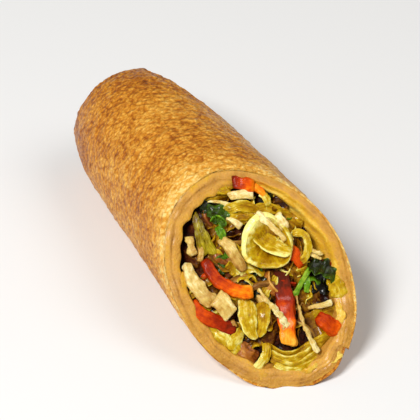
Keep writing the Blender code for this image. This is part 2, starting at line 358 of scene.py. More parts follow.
@dataclass(frozen=True)
class Finish:
    """A surface: colours from dark to light by a tone that the mesh carries, and its gloss.

    Args:
        name: What the surface is.
        stops: The colours, from tone 0 to tone 1.
        roughness: Of the Principled shader.
        blotch_mm: Size of the soft variation of colour.
        blotch: How far it moves the tone.
        grain_mm: Width of the streaks, or size of the grain.
        grain: How far the grain moves the tone.
        relief_mm: Height of the grain as bump.
        coat: Weight of a thin wet or oily film.
        coat_roughness: Of that film.
        scatter: Weight of light that goes under the surface.
        depth_mm: How far it goes.
        streaks: Whether the grain runs along the piece, and so reads its fibre attribute.
        specular: How strongly the surface itself mirrors, where 0.5 is a common plastic.
        uneven_gloss: How far the roughness varies either way.
    """

    name: str
    stops: tuple[tuple[float, str], ...]
    roughness: float = 0.4
    blotch_mm: float = 1.4
    blotch: float = 0.2
    grain_mm: float = 0.4
    grain: float = 0.2
    relief_mm: float = 0.26
    coat: float = 0.2
    coat_roughness: float = 0.1
    scatter: float = 0.12
    depth_mm: float = 1.2
    streaks: bool = True
    specular: float = 0.1
    uneven_gloss: float = 0.12

    def shader(self) -> tuple[bpy.types.Material, bpy.types.NodeTree, bpy.types.Node]:
        """A new material, with the constants set on its shader's own sockets.

        Returns:
            The material, its node tree and its Principled shader.
        """
        material = bpy.data.materials.new(self.name)
        material.use_nodes = True
        tree = material.node_tree
        shader = tree.nodes["Principled BSDF"]
        constants = {
            "Roughness": self.roughness,
            "IOR": 1.45,
            "Specular IOR Level": self.specular,
            "Coat Weight": self.coat,
            "Coat Roughness": self.coat_roughness,
            "Subsurface Weight": self.scatter,
            "Subsurface Scale": self.depth_mm * MM,
            "Subsurface Radius": (1.0, 0.55, 0.22),
        }
        for key, value in constants.items():
            shader.inputs[key].default_value = value
        return material, tree, shader

    def place(self, tree: bpy.types.NodeTree) -> bpy.types.NodeSocket:
        """Where the grain is read: along and across the piece, or in the object's own space.

        Args:
            tree: The material's node tree.

        Returns:
            The output that gives the place.
        """
        if self.streaks:
            return add_node(
                tree, "ShaderNodeAttribute", {}, attribute_name="fibre"
            ).outputs["Vector"]
        return add_node(tree, "ShaderNodeTexCoord", {}).outputs["Object"]

    def moved(
        self,
        tree: bpy.types.NodeTree,
        value: bpy.types.NodeSocket | float,
        noise: bpy.types.NodeSocket,
        share: float,
    ) -> bpy.types.NodeSocket:
        """The value plus (noise - 0.5) x share / NOISE_REACH.

        Args:
            tree: The material's node tree.
            value: What is moved.
            noise: A noise round 0.5.
            share: How far the value moves either way.

        Returns:
            The output that gives the moved value.
        """
        factor = share / NOISE_REACH
        middle = add_node(
            tree, "ShaderNodeMath", {0: value, 1: 0.5 * factor}, operation="SUBTRACT"
        ).outputs[0]
        return add_node(
            tree, "ShaderNodeMath", {0: noise, 1: factor, 2: middle}, operation="MULTIPLY_ADD"
        ).outputs[0]

    def connect(
        self,
        tree: bpy.types.NodeTree,
        shader: bpy.types.Node,
        tone: bpy.types.NodeSocket,
        relief: bpy.types.NodeSocket,
        blotches: bpy.types.NodeSocket,
    ) -> None:
        """Feeds the shader: the tone through the colours, the relief as bump, an uneven gloss.

        Args:
            tree: The material's node tree.
            shader: Its Principled shader.
            tone: Where the colour lies among the stops.
            relief: Height, in shares of relief_mm.
            blotches: The noise that the gloss follows.
        """
        colour = add_node(tree, "ShaderNodeValToRGB", {"Fac": tone}, self.stops).outputs["Color"]
        raised = add_node(
            tree,
            "ShaderNodeBump",
            {"Height": relief, "Strength": 1.0, "Distance": self.relief_mm * MM},
        ).outputs["Normal"]
        gloss = self.moved(tree, self.roughness, blotches, self.uneven_gloss)
        tree.links.new(colour, shader.inputs["Base Color"])
        tree.links.new(gloss, shader.inputs["Roughness"])
        tree.links.new(raised, shader.inputs["Normal"])

    def material(self) -> bpy.types.Material:
        """Tone plus blotches plus grain through the colours, with the last two as bump.

        Returns:
            The material.
        """
        material, tree, shader = self.shader()
        tone = add_node(tree, "ShaderNodeAttribute", {}, attribute_name="tone").outputs["Fac"]
        space = add_node(tree, "ShaderNodeTexCoord", {}).outputs["Object"]
        blotches, grain = (
            add_node(
                tree,
                "ShaderNodeTexNoise",
                {"Vector": vector, "Scale": per_size(size), "Detail": 3.0, "Roughness": 0.6},
            ).outputs["Fac"]
            for vector, size in ((space, self.blotch_mm), (self.place(tree), self.grain_mm))
        )
        tone = self.moved(tree, tone, blotches, self.blotch)
        tone = self.moved(tree, tone, grain, self.grain)
        relief = add_node(
            tree, "ShaderNodeMath", {0: blotches, 1: 0.8, 2: grain}, operation="MULTIPLY_ADD"
        ).outputs[0]
        self.connect(tree, shader, tone, relief, blotches)
        return material


@dataclass(frozen=True)
class FriedSkin(Finish):
    """Wheat pastry browned in oil: the raised blisters stay paler and the hollows brown and hold oil,
    both with painted highlight and shade.

    Args:
        blisters: For the large and the small blisters, how far apart they are in millimetres, and
            how far they move the tone.
        stretch: How much shorter they are along the roll than round it.
        wander_mm: Size of the noise that draws the blisters out of true.
        reach_mm: How far it draws them.
    """

    blisters: tuple[tuple[float, float], ...] = ((2.0, 0.13), (0.9, 0.3))
    stretch: float = 1.3
    wander_mm: float = 1.6
    reach_mm: float = 1.7

    def material(self) -> bpy.types.Material:
        """Browning, with painted light and shade, plus blotches, blisters and grain through the
        colours, the last two as bump.

        The blisters are cells, drawn a little out of true by a noise, with their hollows browner:
        partly browning and oil, partly painted shade, while their paler middles are partly a painted
        highlight.

        Returns:
            The material.
        """
        material, tree, shader = self.shader()
        tone = add_node(tree, "ShaderNodeAttribute", {}, attribute_name="toast_and_painted_light").outputs["Fac"]
        space = add_node(tree, "ShaderNodeTexCoord", {}).outputs["Object"]
        wander = add_node(
            tree,
            "ShaderNodeTexNoise",
            {"Vector": space, "Scale": per_size(self.wander_mm), "Detail": 3.0},
        ).outputs["Color"]
        reach = (self.reach_mm * MM,) * 3
        wandered = add_node(
            tree, "ShaderNodeVectorMath", {0: wander, 1: reach, 2: space}, operation="MULTIPLY_ADD"
        ).outputs["Vector"]
        across = add_node(
            tree, "ShaderNodeMapping", {"Vector": wandered, "Scale": (1.0, self.stretch, 1.0)}
        ).outputs["Vector"]
        blotches, grain = (
            add_node(
                tree,
                "ShaderNodeTexNoise",
                {"Vector": across, "Scale": per_size(size), "Detail": 3.0, "Roughness": 0.65},
            ).outputs["Fac"]
            for size in (self.blotch_mm, self.grain_mm)
        )
        tone = self.moved(tree, tone, blotches, self.blotch)
        tone = self.moved(tree, tone, grain, self.grain)
        relief = grain
        for apart, share in self.blisters:
            hollow = add_node(
                tree, "ShaderNodeTexVoronoi", {"Vector": across, "Scale": per_size(apart)}
            ).outputs["Distance"]
            # Browner towards each cell's edge and paler in its middle: partly browning, partly painted
            # shade and highlight.
            tone = self.moved(tree, tone, hollow, share * 0.55)
            relief = add_node(
                tree,
                "ShaderNodeMath",
                {0: hollow, 1: -0.9 * apart, 2: relief},
                operation="MULTIPLY_ADD",
            ).outputs[0]
        self.connect(tree, shader, tone, relief, blotches)
        return material


# Deep-fried wheat pastry: golden brown with a thin film of oil, darkest where it browned most.
FRIED = FriedSkin(
    "fried_wheat_pastry",
    ((0.0, "#FFDA86"), (0.25, "#F0B148"), (0.5, "#D28722"), (0.72, "#A85C10"), (1.0, "#602A04")),
    blotch_mm=6.0, blotch=0.11, grain_mm=0.36, grain=0.15, coat=0.22, coat_roughness=0.2,
    scatter=0.08, depth_mm=0.8, streaks=False, specular=0.18,
)
# Cooked wheat dough at the cut: dry and pale outside, moist and golden towards the filling.
DOUGH = Finish(
    "cut_wheat_dough",
    ((0.0, "#7A4A12"), (0.25, "#B07A26"), (0.5, "#CE963A"), (0.75, "#DCA61C"), (1.0, "#F2CE5C")),
    roughness=0.42, blotch_mm=2.2, blotch=0.16, grain_mm=0.45, grain=0.1, coat_roughness=0.2,
    scatter=0.2, depth_mm=1.4, streaks=False, specular=0.3,
)
# Cooked carrot: wet, dark red where it lies in shade or fried, orange at its cut ends.
CARROT = Finish(
    "cooked_carrot",
    ((0.0, "#521802"), (0.3, "#9C2400"), (0.6, "#DA5000"), (0.82, "#FC8A08"), (1.0, "#FFB236")),
    roughness=0.5, blotch_mm=1.3, blotch=0.16, grain_mm=0.35, grain=0.12, relief_mm=0.24, coat=0.06,
    coat_roughness=0.12, depth_mm=1.0,
)
# Cooked cabbage leaf: thin, wet and a little see-through, olive in its folds, cream at its edges.
CABBAGE = Finish(
    "cooked_cabbage_leaf",
    ((0.0, "#2C0E00"), (0.25, "#6C4000"), (0.5, "#A07204"), (0.75, "#CCA814"), (1.0, "#F4EA8A")),
    roughness=0.38, scatter=0.25,
)
# Cabbage rib and onion: firm, pale and juicy.
RIB = Finish(
    "cooked_cabbage_rib",
    ((0.0, "#5C3006"), (0.3, "#90601C"), (0.55, "#BA8A38"), (0.8, "#DCBC66"), (1.0, "#F8E6A8")),
    blotch_mm=1.2, grain_mm=0.35, grain=0.16, relief_mm=0.22, coat=0.12, coat_roughness=0.15,
    scatter=0.2, specular=0.3,
)
# Leafy greens: dark, waxy leaf with brighter cut edges.
GREENS = Finish(
    "cooked_leafy_greens",
    ((0.0, "#080600"), (0.3, "#1E2800"), (0.55, "#3A5600"), (0.8, "#5C8C0C"), (1.0, "#98B62C")),
    roughness=0.36, blotch_mm=1.2, coat=0.3, scatter=0.08, depth_mm=1.0, specular=0.2,
)
# Celery-like stalk: ribbed olive green.
STALK = Finish(
    "cooked_green_stalk",
    ((0.0, "#301C00"), (0.3, "#6C5002"), (0.6, "#968200"), (0.82, "#BAA61C"), (1.0, "#E0D060")),
    blotch_mm=1.6, blotch=0.16, grain=0.3, relief_mm=0.28, coat_roughness=0.15, depth_mm=1.0,
    specular=0.25,
)
# Cooked mushroom: soft tan to brown.
MUSHROOM = Finish(
    "cooked_mushroom",
    ((0.0, "#301002"), (0.35, "#743602"), (0.65, "#A86212"), (1.0, "#DEA64A")),
    roughness=0.46, blotch=0.22, grain=0.18, coat=0.15, coat_roughness=0.15, depth_mm=1.0,
    specular=0.3,
)
# What lies deep in the heap: chopped vegetables in their own dark juice, also kept dark as painted
# shade for the gaps between the pieces.
CORE = Finish(
    "vegetables_in_juice_and_painted_shade",
    ((0.0, "#1C0500"), (0.3, "#481A02"), (0.6, "#764806"), (1.0, "#AC8624")),
    roughness=0.46, blotch_mm=1.6, blotch=0.26, grain_mm=0.6, relief_mm=0.4, coat=0.05,
    coat_roughness=0.15, scatter=0.0, depth_mm=1.0, streaks=False,
)


# ---------------------------------------------------------------- the roll's form


@dataclass(frozen=True)
class RollForm:
    """The roll's main form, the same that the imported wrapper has: a taper with a drawn-in end.

    Args:
        cut_radius: Outside radius at the middle of the cut.
        left_reach: How far the form reaches to -X from its middle line.
        taper: Radius lost along each unit of length.
        half_length: Station of the closed end.
        shoulder: Station where the end starts to draw in.
        end_squeeze: Share of the radius lost at the closed end.
        end_curve: Power of that loss.
        wall: Mean thickness of the wrapper.
        wall_swell: How much thicker it is at swell_angle, and thinner across from there.
        swell_angle: Angle of the section, from +X.
        layer: How far the last layer's spiral stands out at its free edge.
        uneven: Height of the hand-rolled waves.
        flat_depth: How deep the underside is pressed flat.
        ragged: Unevenness of the cut edge.
        skin_waves: Of the skin, each with its turns, its drift along the roll, phase and strength.
        rim_nicks: Of the cut edge, each with its turns, phase and strength.
        cut_rise: How far the cut runs back for each unit of height.
        cut_slant: How far it runs back for each unit to the right.
        seam_at_cut: Angle of the free edge at the middle of the cut.
        seam_at_end: Its angle at the closed end.
        seam_wobble: How far it wanders, in radians.
        lip: Radius of the closed end's rounding.
        dish_depth: Depth of the tucked end.
        fold_step: Height of the step that crosses it.
        fold_width: Width of that step.
        fold_angle: How the step lies.
        end_thickness: Dough between the dish and the cavity.
        edge_back: How far the outermost dough is rounded back at the cut.
        edge_reach: Depth inside the skin over which that dies away.
    """

    cut_radius: float = 0.0188
    left_reach: float = 0.018765
    taper: float = 0.07
    half_length: float = 0.068
    shoulder: float = 0.052
    end_squeeze: float = 0.16
    end_curve: float = 2.4
    wall: float = 0.0034
    wall_swell: float = 0.0004
    swell_angle: float = math.radians(145)
    layer: float = 0.0008
    uneven: float = 0.0002
    flat_depth: float = 0.0008
    ragged: float = 0.0003
    skin_waves: tuple = ((2, 0, 0.6, 1.0), (3, 40, 0.0, 0.8), (1, 75, 0.0, 0.9))
    rim_nicks: tuple = ((5, 0.0, 1.0), (11, 1.0, 0.6))
    cut_rise: float = 0.99
    cut_slant: float = -0.37
    seam_at_cut: float = math.radians(-44)
    seam_at_end: float = math.radians(72)
    seam_wobble: float = 0.018
    lip: float = 0.0011
    dish_depth: float = 0.0045
    fold_step: float = 0.0009
    fold_width: float = 0.0016
    fold_angle: float = math.radians(35)
    end_thickness: float = 0.0040
    edge_back: float = 0.0011
    edge_reach: float = 0.0009

    @property
    def cut_height(self) -> float:
        """Height of the middle of the cut."""
        return self.cut_radius - self.flat_depth

    @property
    def cavity_end(self) -> float:
        """Station of the wrapper's inner end."""
        return self.half_length - self.dish_depth - self.end_thickness

    def straight_radius(self, station: Array) -> Array:
        """Outside radius of the plain taper."""
        return self.cut_radius - self.taper * station

    def axis_height(self, station: Array) -> Array:
        """Height of the roll's middle line: the underside lies on the ground."""
        return self.straight_radius(station) - self.flat_depth

    def squeeze(self, station: Array) -> Array:
        """What is left of the radius where the closed end draws in."""
        share = np.clip((station - self.shoulder) / (self.half_length - self.shoulder), 0, 1)
        return 1 - self.end_squeeze * share**self.end_curve

    def angle(self, station: Array, around: Array) -> Array:
        """Angle in the section of a line that starts at the free edge and drifts with it.

        The drift, and the free edge's small wobble, fade to nothing on the far side.

        Args:
            station: Along the roll.
            around: Angle from the free edge.

        Returns:
            The angle from +X.
        """
        middle = (self.seam_at_cut + self.seam_at_end) / 2
        run = smooth(station / self.half_length)
        drift = self.seam_at_cut + (self.seam_at_end - self.seam_at_cut) * run - middle
        near = (1 + np.cos(around)) / 2
        wobble = np.sin(1400 * station) + 0.7 * np.sin(610 * station + 1.0)
        return middle + around + drift * near + self.seam_wobble * wobble * near**12

    def radius(self, station: Array, around: Array, lift: Array) -> Array:
        """Outside radius: the taper, the drawn-in end, hand-rolled waves and the layer's lift.

        Args:
            station: Along the roll.
            around: Angle from the free edge.
            lift: Share of the spiral's step, from 0 to 1.

        Returns:
            The radius.
        """
        angle = self.angle(station, around)
        wave = sum(
            strength * np.sin(turn * angle + along * station + phase)
            for turn, along, phase, strength in self.skin_waves
        )
        draw = self.squeeze(station)
        return self.straight_radius(station) * draw + self.uneven * wave + self.layer * lift * draw

    def core_radius(self, station: Array, around: Array) -> Array:
        """Inside radius of the wrapper."""
        swell = self.wall_swell * np.cos(self.angle(station, around) - self.swell_angle)
        return self.straight_radius(station) * self.squeeze(station) - self.wall - swell

    def point(self, station: Array, around: Array, radius: Array) -> Array:
        """A point of the section, pressed flat where it would be under the ground.

        Args:
            station: Along the roll.
            around: Angle from the free edge.
            radius: From the middle line.

        Returns:
            Points, with the three coordinates last.
        """
        station, around, radius = np.broadcast_arrays(station, around, radius)
        angle = self.angle(station, around)
        height = self.axis_height(station) + radius * np.sin(angle)
        return np.stack([radius * np.cos(angle), station, np.maximum(height, 0.0)], axis=-1)

    def cut_station(self, place: Array) -> Array:
        """Where the knife passed: a plane that rises and slants with height and side."""
        return self.cut_rise * (place[..., 2] - self.cut_height) + self.cut_slant * place[..., 0]

    def at_cut(self, around: Array, radius_at: RadiusAt, back: Array | float = 0.0) -> Array:
        """Station where a line along the roll meets the cut, or a little back of it.

        Args:
            around: The line's angles from the free edge.
            radius_at: The line's radius from its station and angle.
            back: How far behind the cut.

        Returns:
            One station for each line, found by stepping towards it.
        """
        station = np.zeros_like(around)
        for _ in range(12):
            place = self.point(station, around, radius_at(station, around))
            station = self.cut_station(place) + back
        return station

    def shoulder_back(self, inward: Array | float) -> Array:
        """How far the cut edge is rounded back at a depth inside the skin: it dies away inwards."""
        return self.edge_back * np.exp(-np.asarray(inward) / self.edge_reach)

    def softness(self, angle: Array) -> Array:
        """How soft the cut edge is: fully on the left and on top, less at the bottom right."""
        return 0.45 + 0.55 * smooth(np.cos(angle - math.radians(150)), -0.6, 0.5)

    def nicks(self, around: Array) -> Array:
        """Small unevenness of the cut edge: a sum of sines."""
        waves = (strength * np.sin(turn * around + phase) for turn, phase, strength in self.rim_nicks)
        return self.ragged * sum(waves)


@dataclass(frozen=True)
class Place:
    """Moves the roll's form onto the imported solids, and the cut face's millimetres into space.

    Args:
        form: The roll's form.
    """

    form: RollForm

    def shift(self) -> Array:
        """From the form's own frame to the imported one: the closed end's lip is farthest back."""
        low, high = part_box("wrapper")
        return np.array([low.x + self.form.left_reach, high.y - self.form.half_length, 0.0])

    def axes(self) -> Array:
        """The cut face's own directions.

        Returns:
            Three rows: to the right, up in the face and out of it.
        """
        out = unit(np.array([self.form.cut_slant, -1.0, self.form.cut_rise]))
        right = unit(np.cross([0.0, 0.0, 1.0], out))
        return np.stack([right, np.cross(out, right), out])

    def from_face(self, face_mm: Array) -> Array:
        """Points given in the cut face as (right, up, out) in millimetres, in space."""
        middle = np.array([0.0, 0.0, self.form.cut_height])
        return middle + self.shift() + (face_mm * MM) @ self.axes()


@dataclass
class Part:
    """A part of the roll.

    Args:
        form: The roll's form.
        place: Where it stands.
    """

    form: RollForm
    place: Place


# ---------------------------------------------------------------- the wrapper


class Ring(IntEnum):
    """Which part of the outer layer a ring lies on."""

    HIDDEN = 0
    RIM = 1
    SKIN = 2
    END = 3


@dataclass
class OuterLayer(Part):
    """The browned outer layer: blistered skin, free edge, its own thin rim and the tucked end.

    Args:
        columns: Points round a section.
        skin_rows: Rings from the cut to the closed end.
        hidden_rows: Rings of the hidden inner side.
        edge_step: Angle between the columns at the free edge, in radians.
        blister_mm: Height of the large and of the small blisters.
        inset: How far the whole skin is drawn in, so that its relief stays within the form.
        pale_band: Length of the paler skin behind the cut.
        crease_mm: Height of the fine creases that run along the cut.
        cling: How far the free edge is pressed on near the cut, as a share of its lift.
        cling_mm: Stations between which that ends.
        cling_angle: Angle from the free edge over which it dies away.
        sheet: Thickness of the layer, as a share of the spiral's step.
        turn_in: How far its rounded edge is drawn in at the cut, as a share of the step.
        rounding: How far behind the cut that runs out.
        overlap: How far its hidden side runs on past the cavity.
    """

    columns: int = 340
    skin_rows: int = 252
    hidden_rows: int = 6
    edge_step: float = 0.012
    blister_mm: tuple[float, float] = (0.30, 0.2)
    inset: float = 0.0002
    pale_band: float = 0.011
    crease_mm: float = 0.06
    cling: float = 0.4
    cling_mm: tuple[float, float] = (-17.0, -6.0)
    cling_angle: float = 0.25
    sheet: float = 0.9
    turn_in: float = 0.65
    rounding: float = 0.0016
    overlap: float = 0.003

    def columns_and_lifts(self) -> tuple[Array, Array]:
        """Angles from the free edge, right round, with how far the sheet's spiral lifts each.

        The lift falls evenly from 1 at the free edge to 0 after a whole turn. The last five columns
        are the edge itself: it overhangs a little, and its corner is round.

        Returns:
            The angles and the lifts, one of each for a column.
        """
        step = self.edge_step
        around = np.linspace(step, math.tau - step, self.columns)
        lift = 1 - around / math.tau + 0.2 * np.exp(-around / 0.05)
        edge = np.array([-0.6, -0.2, 0.15, -0.1, 0.3]) * step + math.tau
        edge_lift = np.array([0.0, 0.1, 0.5, 0.95, 1.15])
        return np.concatenate([around, edge]), np.concatenate([lift, edge_lift])

    def rings(self, around: Array, lift: Array) -> tuple[Array, Array]:
        """All rings, from the hidden inner side over the rim and along the skin into the tucked end.

        Args:
            around: The columns' angles from the free edge.
            lift: The columns' lifts.

        Returns:
            The points, and a Ring mark for each ring.
        """
        form = self.form
        off = np.where(around > math.tau - 2 * self.edge_step, 0.0, around)
        edge = np.exp(-off / self.cling_angle)
        clings, free = (station * MM for station in self.cling_mm)

        def pressed(station: Array) -> Array:
            """The lift, less beside the free edge where it clings to the layer under it."""
            return lift * (1 - self.cling * edge * (1 - smooth(station, clings, free)))

        def outside(station: Array, angle: Array) -> Array:
            """Radius of the skin."""
            return form.radius(station, angle, pressed(station))

        def inside(station: Array, angle: Array) -> Array:
            """Radius of the layer's inner side."""
            return form.radius(station, angle, pressed(station) - self.sheet)

        nicks = form.nicks(around)
        soft = form.softness(form.angle(0.0, around))
        front = form.at_cut(around, outside, nicks + form.shoulder_back(0.0) * soft)
        inner_front = form.at_cut(around, inside, nicks + form.shoulder_back(form.layer) * soft)
        back = form.cavity_end + self.overlap
        rings, marks = [], []
        for share in (0.4, 0.8):
            rings.append(form.point(back, around, share * inside(back, around)))
        for share in np.linspace(1, 0, self.hidden_rows):
            station = inner_front + (back - inner_front) * share
            rings.append(form.point(station, around, inside(station, around)))
        marks += [Ring.HIDDEN] * len(rings)
        turn_in = self.turn_in * form.layer * soft
        low = form.point(inner_front, around, inside(inner_front, around))
        high = form.point(front, around, outside(front, around) - turn_in)
        for share in (0.25, 0.5, 0.75, 1.0):
            rings.append(low + (high - low) * share)
            marks.append(Ring.RIM)
        for share in np.linspace(0, 1, self.skin_rows) ** 1.15:
            station = front + 0.0002 + (form.half_length - form.lip - front - 0.0002) * share
            drawn_in = turn_in * np.exp(-(((station - front) / self.rounding) ** 0.8))
            rings.append(form.point(station, around, outside(station, around) - drawn_in))
            marks.append(Ring.SKIN)
        end = form.half_length
        for turn in np.radians([25, 50, 75, 100, 130, 160]):
            station = end - form.lip * (1 - math.sin(turn))
            radius = outside(end, around) - form.lip * (1 - math.cos(turn))
            rings.append(form.point(station, around, radius))
            marks.append(Ring.END)
        for share in (0.985, 0.96, 0.92, 0.87, 0.81, 0.74, 0.66, 0.57, 0.47, 0.37, 0.27, 0.17, 0.08):
            rings.append(self.dish(around, share, outside(end, around)))
            marks.append(Ring.END)
        return np.stack(rings), np.array(marks)

    def dish(self, around: Array, share: float, radius: Array) -> Array:
        """A ring of the tucked end: a dish that deepens inwards, crossed by the last fold's step.

        Args:
            around: The columns' angles.
            share: Of the dish's radius.
            radius: The skin's radius at the closed end.

        Returns:
            The ring's points.
        """
        form = self.form
        point = form.point(form.half_length, around, (radius - 2 * form.lip) * share)
        above = point[..., 2] - form.axis_height(form.half_length)
        across = point[..., 0] * math.sin(form.fold_angle) - above * math.cos(form.fold_angle)
        fold = form.fold_step * smooth(across / form.fold_width + 0.5)
        depth = form.dish_depth * (1 - share**3) - fold * (1 - share**6)
        point[..., 1] -= np.maximum(depth, form.lip * 0.8 * (1 - share))
        return point

    def relief(self, points: Array, marks: Array) -> tuple[Array, Array]:
        """Long soft swells, plus large and small domes that come in patches and fade at the cut.

        Fine creases run along the cut and die away behind it.

        Args:
            points: The rings.
            marks: Which part each ring lies on.

        Returns:
            The height at each point, and how much of a blister it is, from 0 to 1.
        """
        form = self.form
        squashed = points * np.array([1.0, 1.4, 1.0])
        patch = smooth(soft_noise(points, 9 * MM, 31, 2), -0.5, 0.5)
        large = domes(squashed, 2.6 * MM, 41) * (0.25 + 0.75 * patch)
        small = domes(squashed, 1.25 * MM, 51) * (0.6 + 0.4 * (1 - patch))
        swell = 0.2 * MM * soft_noise(points, 8 * MM, 61, 2)
        wrinkle = 0.07 * MM * soft_noise(points * np.array([1.0, 2.0, 1.0]), 1.9 * MM, 71, 2)
        behind = points[..., 1] - form.cut_station(points)
        rough = 0.25 + 0.75 * smooth(behind, 0.5 * MM, 7 * MM)
        height = rough * MM * (self.blister_mm[0] * large + self.blister_mm[1] * small)
        crease = np.sin(behind / (0.3 * MM) + 3 * soft_noise(points, 6 * MM, 75, 2))
        crease = self.crease_mm * MM * crease * np.exp(-np.maximum(behind, 0.0) / (6 * MM))
        height = height + rough * wrinkle + crease * smooth(behind, 0.0, 1 * MM) + swell - self.inset
        shown = (marks >= Ring.RIM)[:, None] * (1.0 - 0.6 * (marks == Ring.RIM)[:, None])
        return height * shown, np.clip(0.6 * large + 0.6 * small, 0, 1)

    def toast_and_painted_light(self, points: Array, blister: Array, around: Array, marks: Array) -> Array:
        """How brown each point is, with painted light and shade mixed in: a middle value plus soft
        noise and what its place adds.

        Paler: by the cut, and still more on the left, where the extra is a painted highlight; on the
        right side, painted light where that side lies in shade; on blisters, partly a painted
        highlight; and just past the free edge, a painted highlight on its crest.
        Browner: along the free edge, partly browning and partly a painted shadow under the edge, at the
        closed end, deep in the tuck and low at the cut.

        Args:
            points: The rings.
            blister: How much of a blister each point is.
            around: The columns' angles.
            marks: Which part each ring lies on.

        Returns:
            The tone of the fried finish.
        """
        form = self.form
        behind = points[..., 1] - form.cut_station(points)
        value = 0.44 + 0.14 * soft_noise(points, 12 * MM, 81, 3)
        value += 0.06 * soft_noise(points, 2.6 * MM, 91, 2)
        # The pale band by the cut is paler still on the left: that extra is a painted highlight.
        left = smooth(-points[..., 0], -4 * MM, 10 * MM)
        value -= (0.19 + 0.13 * left) * (1 - smooth(behind, 0.0, self.pale_band))
        # Paler on the right side: painted light, as that side lies in shade.
        value -= 0.08 * smooth(points[..., 0], 6 * MM, 16 * MM)
        value += 0.14 * smooth(points[..., 1], 42 * MM, 66 * MM)
        # Paler on the blisters: partly their own paler colour, partly a painted highlight on their
        # tops.
        value -= 0.12 * (blister - 0.35)
        # Browner along the free edge and the low side under it: partly browning, partly a painted
        # shadow under the edge. Paler on the flap just past the edge: a painted highlight on its crest.
        value += 0.16 * np.exp(-((math.tau - around) / 0.05))[None, :]
        value -= 0.12 * np.exp(-around / 0.02)[None, :]
        low = 1 - smooth(points[..., 2], 4 * MM, 14 * MM)
        value += 0.3 * low * (1 - smooth(behind, 1 * MM, 5 * MM)) * (marks <= Ring.SKIN)[:, None]
        end = (marks == Ring.END)[:, None]
        middle = np.hypot(points[..., 0], points[..., 2] - form.axis_height(form.half_length))
        value += end * (0.08 + 0.14 * (1 - smooth(middle, 5 * MM, 10 * MM)))
        return np.clip(value, 0.02, 0.98)

    def build(self) -> bpy.types.Object:
        """Makes and dresses the layer, its relief pushed out along the normals.

        Returns:
            The piece.
        """
        around, lift = self.columns_and_lifts()
        points, marks = self.rings(around, lift)
        height, blister = self.relief(points, marks)
        toast_and_painted_light = self.toast_and_painted_light(points, blister, around, marks)
        outward = grid_normals(points)
        radial = points - points.mean(axis=1, keepdims=True)
        skin = marks == Ring.SKIN
        if np.sum(outward[skin] * radial[skin]) < 0:
            outward = -outward
        points = points + outward * height[..., None]
        points[..., 1] = np.minimum(points[..., 1], self.form.half_length)
        points[..., 2] = np.maximum(points[..., 2], 0.0)
        points = points + self.place.shift()
        surface = closed_surface(points, {"toast_and_painted_light": toast_and_painted_light})
        piece = make_object("wrapper_outer_layer", [surface])
        finish_piece(piece, FRIED.material(), ("wrapper",))
        return piece


